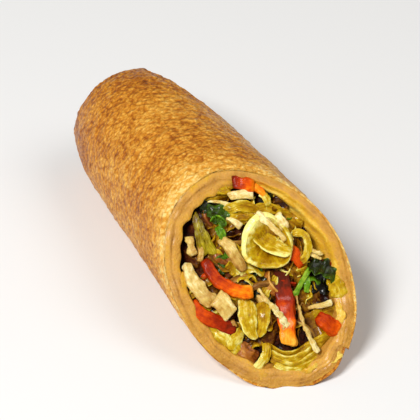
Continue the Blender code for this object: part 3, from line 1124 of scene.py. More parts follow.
@dataclass
class InnerLayers(Part):
    """The layers under the outer one: their lines at the cut, and the moist inner wall.

    Args:
        columns: Points round a section.
        rim_rows: Rings across the cut.
        wall_rows: Rings of the inner wall.
        lines: Where the layers' lines run, as shares of the wall, each with its strength on the
            left and at the bottom.
        line_depth: Depth of a line.
        line_width: Its width, as a share of the wall.
        swell: How much thicker the moist side is.
        slope: How far its inner edge runs back.
        moist_angle: Middle of the moist side in the section.
        moist_width: Half its width.
        under: Where these layers begin, in steps of the spiral below the skin.
        crumb_mm: Height of the dry dough's crumb.
        fold_mm: Height of the moist side's fine folds.
        fold_turns: How many radians of folds lie across the wall.
    """

    columns: int = 400
    rim_rows: int = 64
    wall_rows: int = 40
    lines: tuple[tuple[float, float, float], ...] = (
        (0.18, 0.2, 0.45),
        (0.42, 0.5, 0.6),
        (0.66, 0.1, 0.6),
    )
    line_depth: float = 0.0002
    line_width: float = 0.06
    swell: float = 0.0026
    slope: float = 0.0052
    moist_angle: float = math.radians(38)
    moist_width: float = math.radians(50)
    under: float = 0.96
    crumb_mm: float = 0.16
    fold_mm: float = 0.2
    fold_turns: float = 24.0

    def outer(self, station: Array, around: Array) -> Array:
        """Radius where the outer layer ends and these begin, with a hair's gap."""
        return self.form.radius(station, around, 1 - around / math.tau - self.under)

    def moist(self, angle: Array) -> Array:
        """Share of moist, smooth dough at an angle of the section."""
        turned = np.angle(np.exp(1j * (angle - self.moist_angle)))
        return np.exp(-((turned / self.moist_width) ** 4))

    def inner(self, station: Array, around: Array) -> Array:
        """Inside radius at the cut: the moist side is swollen, and the edge is a little ragged.

        Args:
            station: Along the roll.
            around: Angle from the free edge.

        Returns:
            The radius.
        """
        angle = self.form.angle(station, around)
        radius = self.form.core_radius(station, around)
        ragged = 0.0003 * np.sin(9 * angle) * np.sin(4 * angle + 1) + 0.0002 * np.sin(23 * angle)
        return radius - self.swell * self.moist(angle) + ragged

    def grooves(self, share: float, ring: Array, angle: Array) -> Array:
        """Lines between layers: bells that wander across the wall, and come and go.

        Args:
            share: Of the way across the wall.
            ring: The ring's points.
            angle: Their angles in the section.

        Returns:
            How deep in a line each point is, from 0 to 1.
        """
        low = 0.5 - 0.5 * np.sin(angle)
        total = np.zeros(angle.shape)
        for number, (middle, left, bottom) in enumerate(self.lines):
            wander = 0.09 * soft_noise(ring, 6 * MM, 101 + number, 2)
            strength = left + (bottom - left) * smooth(low, 0.45, 0.8)
            there = smooth(soft_noise(ring, 5 * MM, 111 + number, 2), -0.4, 0.35)
            total += strength * there * bump(share + wander, middle, self.line_width)
        return np.clip(total, 0, 1)

    def rim_tone(
        self, shares: Array, lines: Array, streaks: Array, folds: Array, angle: Array
    ) -> Array:
        """How light the cut dough is: a dry tone, and a wet one on the moist side.

        The dry dough is lighter inwards, as painted shade lies along its outer edge, has painted
        highlights at both edges, is darker in its lines, and has a pale band and a dark one at the
        upper left, painted light and shade. The wet dough is lighter, and darker inwards and in its
        lines, and in its folds, where that is painted shade. Both have streaks along the layers.

        Args:
            shares: Of the way across the wall.
            lines: How deep in a line each point is.
            streaks: A noise drawn out along the layers.
            folds: Height of the moist side's folds.
            angle: Angles in the section.

        Returns:
            The tone of the cut dough.
        """
        # Painted light and shade in the dry dough: the rise inwards is painted shade along the outer
        # edge, the bumps at both edges are painted highlights, and the upper-left band is painted light
        # and shade. In the wet dough, the darker folds are painted shade.
        upper_left = smooth(np.cos(angle - math.radians(150)), -0.2, 0.8)
        band = 0.16 * bump(shares, 0.12, 0.12) - 0.12 * bump(shares, 0.34, 0.06)
        dry = 0.36 + 0.14 * smooth(shares, 0.1, 0.85) - 0.2 * lines + 0.12 * bump(shares, 0.0, 0.06)
        dry = dry + 0.12 * streaks + 0.1 * bump(shares, 0.9, 0.05) + band * upper_left
        wet = 0.82 + 0.26 * streaks - 0.18 * lines - 0.14 * smooth(shares, 0.55, 1.0) - 0.08 * folds
        return dry + (wet - dry) * self.moist(angle) * smooth(shares, 0.1, 0.4)

    def build(self) -> bpy.types.Object:
        """Makes and dresses the layers: hidden outside, rim, inner wall and inner end.

        Returns:
            The piece.
        """
        form = self.form
        around = np.linspace(0.012, math.tau - 0.012, self.columns)
        front = form.at_cut(around, self.outer, form.nicks(around))
        inner_front = form.at_cut(around, self.inner, form.nicks(around))
        angle = form.angle(front, around)
        soft = form.softness(angle)
        back = form.cavity_end + 0.002
        hide = 0.0004 + form.shoulder_back(form.layer)
        rings, layer_at, depth_at, streak_at, fold_at = [], [], [], [], []
        for share in (0.45, 0.9):
            rings.append(form.point(back, around, share * self.outer(back, around)))
        for share in np.linspace(1, 0, 5):
            station = front + hide + (back - front - hide) * share
            rings.append(form.point(station, around, self.outer(station, around)))
        hidden = len(rings)
        high = form.point(front, around, self.outer(front, around))
        low = form.point(inner_front, around, self.inner(inner_front, around))
        thickness = self.outer(front, around) - self.inner(inner_front, around)
        moist = self.moist(angle)
        for share in np.linspace(0, 1, self.rim_rows):
            ring = high + (low - high) * share
            groove = self.grooves(share, ring, angle) * (1 - 0.75 * moist)
            crumb = self.crumb_mm * MM * soft_noise(ring, 1.1 * MM, 121, 3)
            swell = 0.3 * MM * soft_noise(ring, 3.5 * MM, 131, 2)
            fold = np.sin(self.fold_turns * share + 4 * soft_noise(ring, 9 * MM, 135)) * moist
            fold_at.append(fold)
            run_back = 0.0008 * share**6 + moist * self.slope * smooth(share, 0.1, 1.0) ** 1.2
            shoulder = form.shoulder_back(form.layer + share * thickness) * soft
            depth = self.line_depth * groove + crumb * (1 - 0.6 * moist) + swell
            depth = depth + self.fold_mm * MM * fold
            ring[..., 1] += 0.0001 + depth + run_back + shoulder
            rings.append(ring)
            layer_at.append(groove)
            depth_at.append(np.full_like(around, share))
            sheets = np.stack([6 * share + 0 * angle, 2.6 * angle, 0 * angle], axis=-1)
            streak_at.append(soft_noise(sheets, 1.0, 155, 3))
        edge = rings[-1]
        for share in np.linspace(0, 1, self.wall_rows + 1)[1:] ** 1.8:
            station = edge[..., 1] + (form.cavity_end - edge[..., 1]) * share
            ripple = 0.3 * MM * np.abs(
                soft_noise(form.point(station * 0.35, around, 0.015), 2.2 * MM, 141, 2)
            )
            full = form.core_radius(station, around)
            start = self.inner(station, around)
            radius = start + (full - start) * smooth(share, 0.1, 0.5)
            rings.append(form.point(station, around, radius - ripple * smooth(share, 0.0, 0.04)))
        points = np.stack(rings)
        rim = slice(hidden, hidden + self.rim_rows)
        marks = (np.stack(found) for found in (depth_at, layer_at, streak_at, fold_at))
        tone = np.full(points.shape[:2], 0.3)
        shade = 0.10 * soft_noise(points, 2.4 * MM, 151, 2)
        tone[rim] = self.rim_tone(*marks, angle)
        tone[hidden + self.rim_rows :] = 0.28 + 0.5 * moist
        points[..., 2] = np.maximum(points[..., 2], 0.02 * MM)
        points = points + self.place.shift()
        piece = make_object("wrapper_inner_layers", [closed_surface(points, {"tone": tone + shade})])
        finish_piece(piece, DOUGH.material())
        return piece


# ---------------------------------------------------------------- the filling


@dataclass
class FillingCore(Part):
    """The body of the filling, which runs through the roll and lies behind the pieces at its face.

    Args:
        columns: Points round a section.
        face_rows: Rings of the face.
        side_rows: Rings of the side.
        recess: How far the face lies behind the cut.
        relief: Height of its lumps.
        left_gap: How much deeper it is along the left wall.
        right_gap: How much deeper it is behind the swollen dough.
        clearance: Gap between it and the wrapper.
    """

    columns: int = 260
    face_rows: int = 90
    side_rows: int = 24
    recess: float = 0.0028
    relief: float = 0.0012
    left_gap: float = 0.0035
    right_gap: float = 0.0042
    clearance: float = 0.0004

    def build(self) -> bpy.types.Object:
        """Makes the core: its end, its side and its lumpy face.

        Returns:
            The piece.
        """
        form = self.form
        around = np.linspace(0.01, math.tau - 0.01, self.columns)

        def side(station: Array, angle: Array) -> Array:
            """Radius of the core, just inside the wrapper."""
            return form.core_radius(station, angle) - self.clearance

        back = form.cavity_end - self.clearance
        edge_station = form.at_cut(around, side, self.recess)
        edge = form.point(edge_station, around, side(edge_station, around))
        moist = InnerLayers(form, self.place).moist(form.angle(edge_station, around))
        hide = self.left_gap + self.right_gap
        rings = [form.point(back, around, share * side(back, around)) for share in (0.4, 0.8)]
        for share in np.linspace(1, 0, self.side_rows):
            station = edge_station + hide + (back - edge_station - hide) * share
            rings.append(form.point(station, around, side(station, around)))
        middle = np.array([0.0, self.recess, form.cut_height])
        for share in np.linspace(1, 0, self.face_rows + 1)[1:-1]:
            rings.append(middle + (edge - middle) * share)
        points = np.stack(rings)
        face = np.arange(len(points)) >= 2 + self.side_rows
        lumps = domes(points, 2.6 * MM, 161) - 0.4 + 0.5 * soft_noise(points, 1.5 * MM, 171, 2)
        off = np.linalg.norm(points - middle, axis=-1) / np.linalg.norm(edge - middle, axis=-1)
        left = smooth(-points[..., 0], 4 * MM, 13 * MM)
        deep = self.left_gap * smooth(off, 0.75, 0.97) * left
        deep = deep + self.right_gap * smooth(off, 0.5, 0.8) * moist
        deep = deep + 0.004 * smooth(off, 0.965, 1.0)
        points[..., 1] += face[:, None] * (deep - self.relief * lumps)
        # Darker towards the wall, away from the moist side: painted shade in the gap between the
        # filling and the wrapper.
        tone = 0.42 + 0.35 * lumps - 0.35 * smooth(off, 0.7, 1.0) * (1 - moist) + 0.15 * moist
        points = points + self.place.shift()
        piece = make_object("filling_core", [closed_surface(points, {"tone": tone})])
        finish_piece(piece, CORE.material(), ("filling",))
        return piece


def along(knots: Array, shares: Array) -> Array:
    """Points of the curve through evenly spaced knots: the polynomial that meets them all.

    Args:
        knots: One row each.
        shares: Where the points lie, from 0 at the first knot to 1 at the last.

    Returns:
        One row for each share.
    """
    powers = np.vander(np.linspace(0, 1, len(knots)), increasing=True)
    return np.vander(shares, len(knots), increasing=True) @ np.linalg.solve(powers, knots)


@dataclass(frozen=True)
class Shred:
    """A strip, stick, sliver or leaf of vegetable, carried along a path in the cut face. Millimetres.

    Args:
        path: Knots of its middle line, each (right, up, out).
        width: Across, in the face.
        depth: Thickness, out of the face.
        roll: Degrees that its flat side is rolled about the path at its start.
        twist: Degrees that it rolls on by its end.
        curl: Degrees that its width is bent through. Positive is hollow on its outer side.
        edges: From 1, round, to 0.25, nearly square.
        taper: Shares of the width at the start and the end.
        plan: How square its outline is: 2 is an ellipse, 10 nearly a rectangle.
        slant: How far one long edge is ahead of the other, so that its ends are cut on the bias.
        tone: Its finish's tone at the start and the end.
        rim: What its two long edges add to the tone.
        ruffle: Height of the waves along its edges.
        waves: How many there are.
        ragged: How torn its two long edges are, as a share of the width.
        ridges: Ribs along it, as on celery.
        blunt: How long the rounding of its ends is, as a share of the depth.
        lumps: Unevenness, as a share of the width.
        widest_lump: The width beyond which the lumps grow no more.
        shade: How much darker it is where it lies deepest: painted shade, and juice gathered there.
        fine: Whether it gets the denser grid of a large piece.
        salt: Picks its own unevenness.
    """

    path: tuple[tuple[float, float, float], ...]
    width: float
    depth: float
    roll: float = 0.0
    twist: float = 0.0
    curl: float = 0.0
    edges: float = 0.5
    taper: tuple[float, float] = (1.0, 1.0)
    plan: float = 9.0
    slant: float = 0.0
    tone: tuple[float, float] = (0.5, 0.5)
    rim: float = 0.0
    ruffle: float = 0.0
    waves: float = 2.0
    ragged: float = 0.0
    ridges: float = 0.0
    blunt: float = 0.5
    lumps: float = 0.06
    widest_lump: float = 3.0
    shade: float = 0.6
    fine: bool = True
    salt: int = 1

    def rows(self, length: float) -> tuple[Array, Array]:
        """Where its sections lie: close together at its round ends, and evenly between.

        Args:
            length: Of the path.

        Returns:
            Shares of the length, and how open the section is at each.
        """
        cap = min(self.blunt * self.depth / length, 0.3)
        turn = np.linspace(0.15, math.pi / 2, 5)
        end = cap * (1 - np.cos(turn))
        between = np.linspace(cap, 1 - cap, 30 if self.fine else 14)[1:-1]
        shares = np.concatenate([end, between, 1 - end[::-1]])
        closing = np.concatenate([np.sin(turn), np.ones(len(between)), np.sin(turn)[::-1]])
        return shares, closing[:, None]

    def section(self, columns: int) -> tuple[Array, Array]:
        """Its section, a superellipse: the cosine and sine raised to a power, with their signs.

        Args:
            columns: Points round it.

        Returns:
            How far across and how far out each point is, from -1 to 1.
        """
        turn = np.linspace(0, math.tau, columns, endpoint=False)[None, :]
        across, thick = np.cos(turn), np.sin(turn)
        return (
            np.sign(across) * np.abs(across) ** self.edges,
            np.sign(thick) * np.abs(thick) ** self.edges,
        )

    def outline(self, shares: Array, length: float) -> tuple[Array, Array]:
        """Its right and left edges: the taper times the plan, each torn in its own way.

        Args:
            shares: Shares of the length.
            length: Of the path.

        Returns:
            The two half-widths at each share.
        """
        plan = (1 - np.abs(2 * shares - 1) ** self.plan) ** (1 / self.plan)
        half = self.width / 2 * (self.taper[0] + (self.taper[1] - self.taper[0]) * shares)
        half = half * np.clip(plan, 0.15, 1.0)
        line = np.stack([shares * length, 0 * shares, 0 * shares + self.salt * 3.3], axis=-1)
        tears = [self.ragged * soft_noise(line + side, 1.3, self.salt, 2) for side in (0.0, 40.0)]
        return (half * (1 + 2 * tears[0]))[:, None], (half * (1 + 2 * tears[1]))[:, None]

    def surface(self, place: Place) -> Surface:
        """The strip: its section, bent over an arc, is carried along the path with a roll.

        Lumps then push it in and out, and a slow noise moves it to the side. Its tone runs from one
        end to the other, with its edges lighter and what lies deep in the heap darker, partly juice and
        partly painted shade.

        Args:
            place: Where the cut face is.

        Returns:
            The closed surface, in metres.
        """
        knots = np.array(self.path, float)
        length = float(np.linalg.norm(np.diff(knots, axis=0), axis=1).sum())
        shares, closing = self.rows(length)
        path = along(knots, shares)
        forward = unit(along(knots, shares + 0.01) - along(knots, shares - 0.01))
        side = unit(np.cross(forward, [0.0, 0.0, 1.0]))
        out = np.cross(side, forward)
        roll = np.radians(self.roll + self.twist * shares)[:, None]
        side, out = (
            side * np.cos(roll) + out * np.sin(roll),
            out * np.cos(roll) - side * np.sin(roll),
        )
        flat, thick = self.section(34 if self.fine else 20)
        right, left = self.outline(shares, length)
        rounding = 1 - np.minimum(0.45, 0.3 * self.depth / self.width) * (1 - closing)
        across = flat * np.where(flat > 0, right, left) * rounding
        thick = thick * self.depth / 2 * closing
        thick = thick * (1 + 0.3 * np.cos(self.ridges * math.pi * flat) * (self.ridges > 0))
        bend = math.radians(self.curl) / self.width if self.curl else 1e-6
        x = np.sin(across * bend) / bend - thick * np.sin(across * bend)
        y = (1 - np.cos(across * bend)) / bend + thick * np.cos(across * bend)
        phase = self.salt * 1.7 + np.sign(flat) * 0.9
        wave = np.sin(math.tau * self.waves * shares[:, None] + phase)
        y = y + self.ruffle * np.abs(flat) ** 1.5 * wave
        ahead = (flat * self.slant)[..., None] * forward[:, None]
        points = path[:, None] + side[:, None] * x[..., None] + out[:, None] * y[..., None] + ahead
        radial = unit(points - points.mean(axis=1, keepdims=True))
        own = points + self.salt * 13.7
        small = min(self.width, self.widest_lump)
        bumps = 1.5 * soft_noise(own, max(small * 0.8, 0.7), self.salt, 2)
        bumps = bumps + 1.1 * soft_noise(own, max(small * 0.3, 0.4), self.salt + 3, 2)
        # A thin leaf keeps its thickness: both its faces move the same way.
        thin = self.depth < 0.35 * self.width
        push = out[:, None] if thin else radial
        points = points + (self.lumps * small * bumps * closing)[..., None] * push
        wander = soft_noise(own * np.array([1, 1, 0.3]), 2.4, self.salt + 5, 2)[..., None]
        points = points + 0.16 * small * wander * side[:, None]
        tone = self.tone[0] + (self.tone[1] - self.tone[0]) * shares[:, None] + 0.0 * flat
        tone = tone + self.rim * np.abs(flat) ** 4 + 0.16 * soft_noise(own, 1.6, self.salt + 9, 2)
        # Painted shade, together with the juice there: darker the deeper it lies in the heap.
        tone = tone - self.shade * smooth(-points[..., 2], 0.6, 2.8)
        fibre = np.stack([x + self.salt * 11.0, shares[:, None] * length * 0.15 + 0 * x, y], axis=-1)
        return closed_surface(place.from_face(points), {"tone": tone, "fibre": fibre * MM})


@dataclass(frozen=True)
class Cup:
    """A curled leaf seen into from its open side: a thin bowl with an uneven rim. Millimetres.

    Args:
        middle: (right, up, out) of the rim's middle.
        radii: Its two half-sizes.
        turn: Degrees that it is turned in the face.
        depth: How deep it is.
        thick: Thickness of the leaf.
        tones: Tone of the bottom and of the rim.
        uneven: How far the rim's height and outline wander, as a share.
        lean: How much the bottom lies to the side of the middle, (right, up).
        corner: Angle in degrees where the rim runs out to a corner, and how far, as a share.
        pale_side: Angle in degrees of the side that is palest.
        salt: Picks its own unevenness.
    """

    middle: tuple[float, float, float]
    radii: tuple[float, float]
    turn: float
    depth: float
    thick: float
    tones: tuple[float, float] = (0.2, 0.85)
    uneven: float = 0.08
    lean: tuple[float, float] = (0.0, 0.0)
    corner: tuple[float, float] = (0.0, 0.0)
    pale_side: float = 0.0
    salt: int = 1

    def surface(self, place: Place, rows: int = 60, columns: int = 120) -> Surface:
        """The bowl: a quarter circle up its outside, over the rim, and back down inside.

        Args:
            place: Where the cut face is.
            rows: Rings, from the bottom outside to the bottom inside.
            columns: Points round each.

        Returns:
            The closed surface, in metres.
        """
        turn = np.linspace(0, math.tau, columns, endpoint=False)[None, :]
        profile = np.linspace(0, 1, rows)[:, None]
        rise = np.where(profile < 0.5, profile / 0.5, (1 - profile) / 0.5)
        inside = smooth(profile, 0.46, 0.54)
        climb = np.sin(rise * math.pi / 2)
        round_lip = np.sqrt(np.clip(1 - ((profile - 0.5) / 0.05) ** 2, 0, 1)) * self.thick * 0.3
        reach = climb * 0.98 + 0.02
        wander = 1 + self.uneven * (np.sin(2 * turn + self.salt) + 0.6 * np.sin(3 * turn + 2))
        off = np.angle(np.exp(1j * (turn - math.radians(self.corner[0]))))
        corner = np.exp(-((off / 0.4) ** 2))
        wander = wander + self.corner[1] * corner
        pale = np.cos(turn - math.radians(self.pale_side))
        thick = self.thick * (1 + 0.55 * pale + 0.2 * np.sin(3 * turn))
        radius_x = (self.radii[0] * wander - thick * inside) * reach
        radius_y = (self.radii[1] * wander - thick * inside) * reach
        wave = self.uneven * 5.0 * (np.sin(2 * turn + 0.7) + 0.7 * np.sin(3 * turn + self.salt))
        height = -self.depth * (1 - climb**1.5) + wave * rise**3 + self.thick * 0.6 * inside
        height = height + round_lip
        x, y = radius_x * np.cos(turn), radius_y * np.sin(turn)
        x = x + self.lean[0] * (1 - rise**2)
        y = y + self.lean[1] * (1 - rise**2)
        lean = math.radians(self.turn)
        points = np.stack(
            [
                self.middle[0] + x * math.cos(lean) - y * math.sin(lean),
                self.middle[1] + x * math.sin(lean) + y * math.cos(lean),
                self.middle[2] + height + 0 * x,
            ],
            axis=-1,
        )
        own = points + self.salt * 5.3
        points = points + 0.3 * soft_noise(own, 2.6, self.salt, 3)[..., None]
        tone = self.tones[0] + (self.tones[1] - self.tones[0]) * climb**2 * (0.72 + 0.28 * pale)
        tone = tone + 0.3 * corner * rise**4
        tone = tone + 0.16 * soft_noise(own, 1.8, self.salt + 9, 2)
        fibre = np.stack([turn * 1.5 + 0 * x, rise * 0.9 + 0 * x, 0 * x + self.salt], -1) * MM
        return closed_surface(place.from_face(points), {"tone": tone, "fibre": fibre})


class Kind(Enum):
    """What a piece of filling is: its finish and the record's slot for it."""

    CARROT = (CARROT, "carrot")
    CABBAGE = (CABBAGE, "cabbage")
    RIB = (RIB, "cabbage_rib")
    GREENS = (GREENS, "leafy_greens")
    STALK = (STALK, "leafy_greens")
    MUSHROOM = (MUSHROOM, "shredded_filling")
    DOUGH = (DOUGH, "fried_pastry")


# The large pieces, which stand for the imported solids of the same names.
LARGE: dict[str, tuple[Kind, list[Shred | Cup]]] = {
    "carrot_top": (Kind.CARROT, [
        Shred(((-4.5, 20.0, -1.2), (-2.6, 19.7, -0.4), (-0.1, 19.0, -0.6)), 2.9, 2.4, edges=0.32,
            tone=(0.1, 0.8), blunt=0.25, slant=0.3, salt=3),
    ]),
    "carrot_bent": (Kind.CARROT, [
        Shred(((-11.3, 3.4, -1.4), (-9.1, 0.0, -0.3), (-6.0, -2.7, 0.2), (-0.9, -3.7, 0.4)), 2.9, 2.4,
            edges=0.42, taper=(0.9, 1.0), tone=(0.12, 0.85), blunt=0.5, salt=4),
    ]),
    "carrot_low": (Kind.CARROT, [
        Shred(((-14.2, -6.4, -1.6), (-9.6, -9.6, -0.9), (-4.6, -11.6, -1.5)), 3.1, 2.2, edges=0.4,
            tone=(0.55, 0.1), blunt=0.3, slant=0.4, salt=5),
    ]),
    # Its tone starts below 0: the dark red at its top end, where it runs under the cup, is painted
    # shade.
    "carrot_long": (Kind.CARROT, [
        Shred(((5.7, 1.9, -3.4), (6.2, -7.0, -0.9), (6.5, -15.4, 0.2)), 3.7, 2.6, roll=-14, edges=0.26,
            tone=(-0.2, 0.96), blunt=0.15, slant=-0.3, salt=6),
    ]),
    "carrot_dice": (Kind.CARROT, [
        Shred(((13.0, -9.4, -1.6), (15.3, -10.9, -0.9), (17.8, -12.4, -1.6)), 4.2, 2.6, roll=10,
            edges=0.42, taper=(0.6, 1.0), tone=(0.3, 0.62), blunt=0.3, lumps=0.09, salt=7),
    ]),
    "cabbage_cup": (Kind.CABBAGE, [
        Cup((1.9, 7.1, 0.6), (5.3, 6.5), -12, 3.1, 0.9, tones=(0.42, 1.04), uneven=0.07,
            lean=(0.9, 0.6), corner=(-28, 0.14), pale_side=140, salt=8),
        Shred(((0.4, 10.4, -1.6), (2.3, 7.0, -1.0), (7.5, 4.7, 0.7)), 4.8, 0.5, roll=26, curl=50,
            taper=(0.8, 0.9), tone=(0.46, 0.86), rim=0.28, plan=4, ragged=0.06, salt=9),
    ]),
    "cabbage_fold": (Kind.CABBAGE, [
        Shred(((-2.0, -5.2, -1.0), (-2.2, -9.2, 0.5), (-0.4, -13.9, -0.5)), 5.0, 0.7, roll=10, curl=-45,
            taper=(1.0, 0.65), plan=2.6, tone=(0.66, 0.8), rim=0.22, ragged=0.06, salt=10),
        Shred(((1.2, -5.6, -1.3), (1.2, -9.2, 0.0), (0.2, -13.4, -0.8)), 4.2, 0.6, roll=-16, curl=-45,
            taper=(1.0, 0.6), plan=2.6, tone=(0.54, 0.68), rim=0.25, ragged=0.06, salt=11),
    ]),
    "cabbage_curl": (Kind.CABBAGE, [
        Shred(((-6.9, 13.4, -1.4), (-3.0, 15.0, -0.5), (1.3, 13.6, -1.2)), 4.0, 0.5, roll=-14, curl=80,
            taper=(0.7, 0.6), plan=3, tone=(0.72, 0.5), rim=0.16, ruffle=0.2, ragged=0.1, salt=12),
        Shred(((-5.6, 12.9, -1.2), (-2.6, 12.6, -0.8), (-0.4, 13.4, -1.2)), 2.2, 0.5, roll=20, curl=-60,
            plan=3, tone=(0.66, 0.54), rim=0.1, ragged=0.1, salt=20),
    ]),
    "rib_slice": (Kind.RIB, [
        Shred(((-14.9, 2.9, -1.0), (-13.6, -1.6, -0.2), (-9.4, -5.9, -0.5)), 3.9, 1.8, roll=12,
            edges=0.5, taper=(0.5, 1.0), tone=(0.84, 0.64), rim=0.1, lumps=0.09, salt=13),
    ]),
    "rib_dice": (Kind.RIB, [
        Shred(((-9.0, -4.7, 0.2), (-7.4, -6.5, 0.8), (-5.7, -8.5, 0.3)), 4.3, 2.4, roll=-6, edges=0.32,
            taper=(0.95, 0.85), tone=(0.62, 0.8), blunt=0.25, slant=0.3, lumps=0.07, salt=14),
    ]),
    "rib_strip": (Kind.RIB, [
        Shred(((-7.8, 7.7, -1.0), (-5.0, 5.2, 0.1), (-2.7, 0.8, -0.9)), 3.5, 1.6, roll=14, edges=0.7,
            taper=(0.85, 0.8), plan=3.2, tone=(0.8, 0.56), rim=-0.12, lumps=0.06, salt=15),
    ]),
    "green_stalk": (Kind.STALK, [
        Shred(((-13.2, 13.4, -1.8), (-12.2, 9.2, -1.0), (-10.9, 4.2, -1.6)), 2.6, 1.2, roll=-10,
            curl=-70, taper=(0.35, 1.0), tone=(0.5, 0.62), rim=-0.2, slant=0.5, ridges=4, ragged=0.05,
            lumps=0.06, salt=16),
        Shred(((-12.4, 12.4, -1.6), (-10.8, 8.6, -0.7), (-9.2, 4.4, -1.3)), 2.3, 1.0, roll=15, curl=-50,
            taper=(0.3, 1.0), tone=(0.6, 0.72), rim=-0.15, slant=-0.5, ridges=4, ragged=0.05,
            lumps=0.06, salt=65),
    ]),
    "green_leaf": (Kind.GREENS, [
        Shred(((11.2, 1.6, -1.2), (14.6, 0.8, -0.7), (18.2, -1.4, -1.5)), 3.8, 0.45, roll=25, curl=60,
            plan=3, tone=(0.22, 0.36), rim=0.2, ruffle=0.6, waves=3.5, ragged=0.22, salt=17),
        Shred(((13.0, 0.4, -1.7), (15.2, -0.8, -1.2), (17.0, -2.4, -1.8)), 2.8, 0.45, roll=-20,
            curl=-50, plan=3, tone=(0.2, 0.3), rim=0.15, ruffle=0.5, waves=3.0, ragged=0.22, salt=61),
    ]),
}

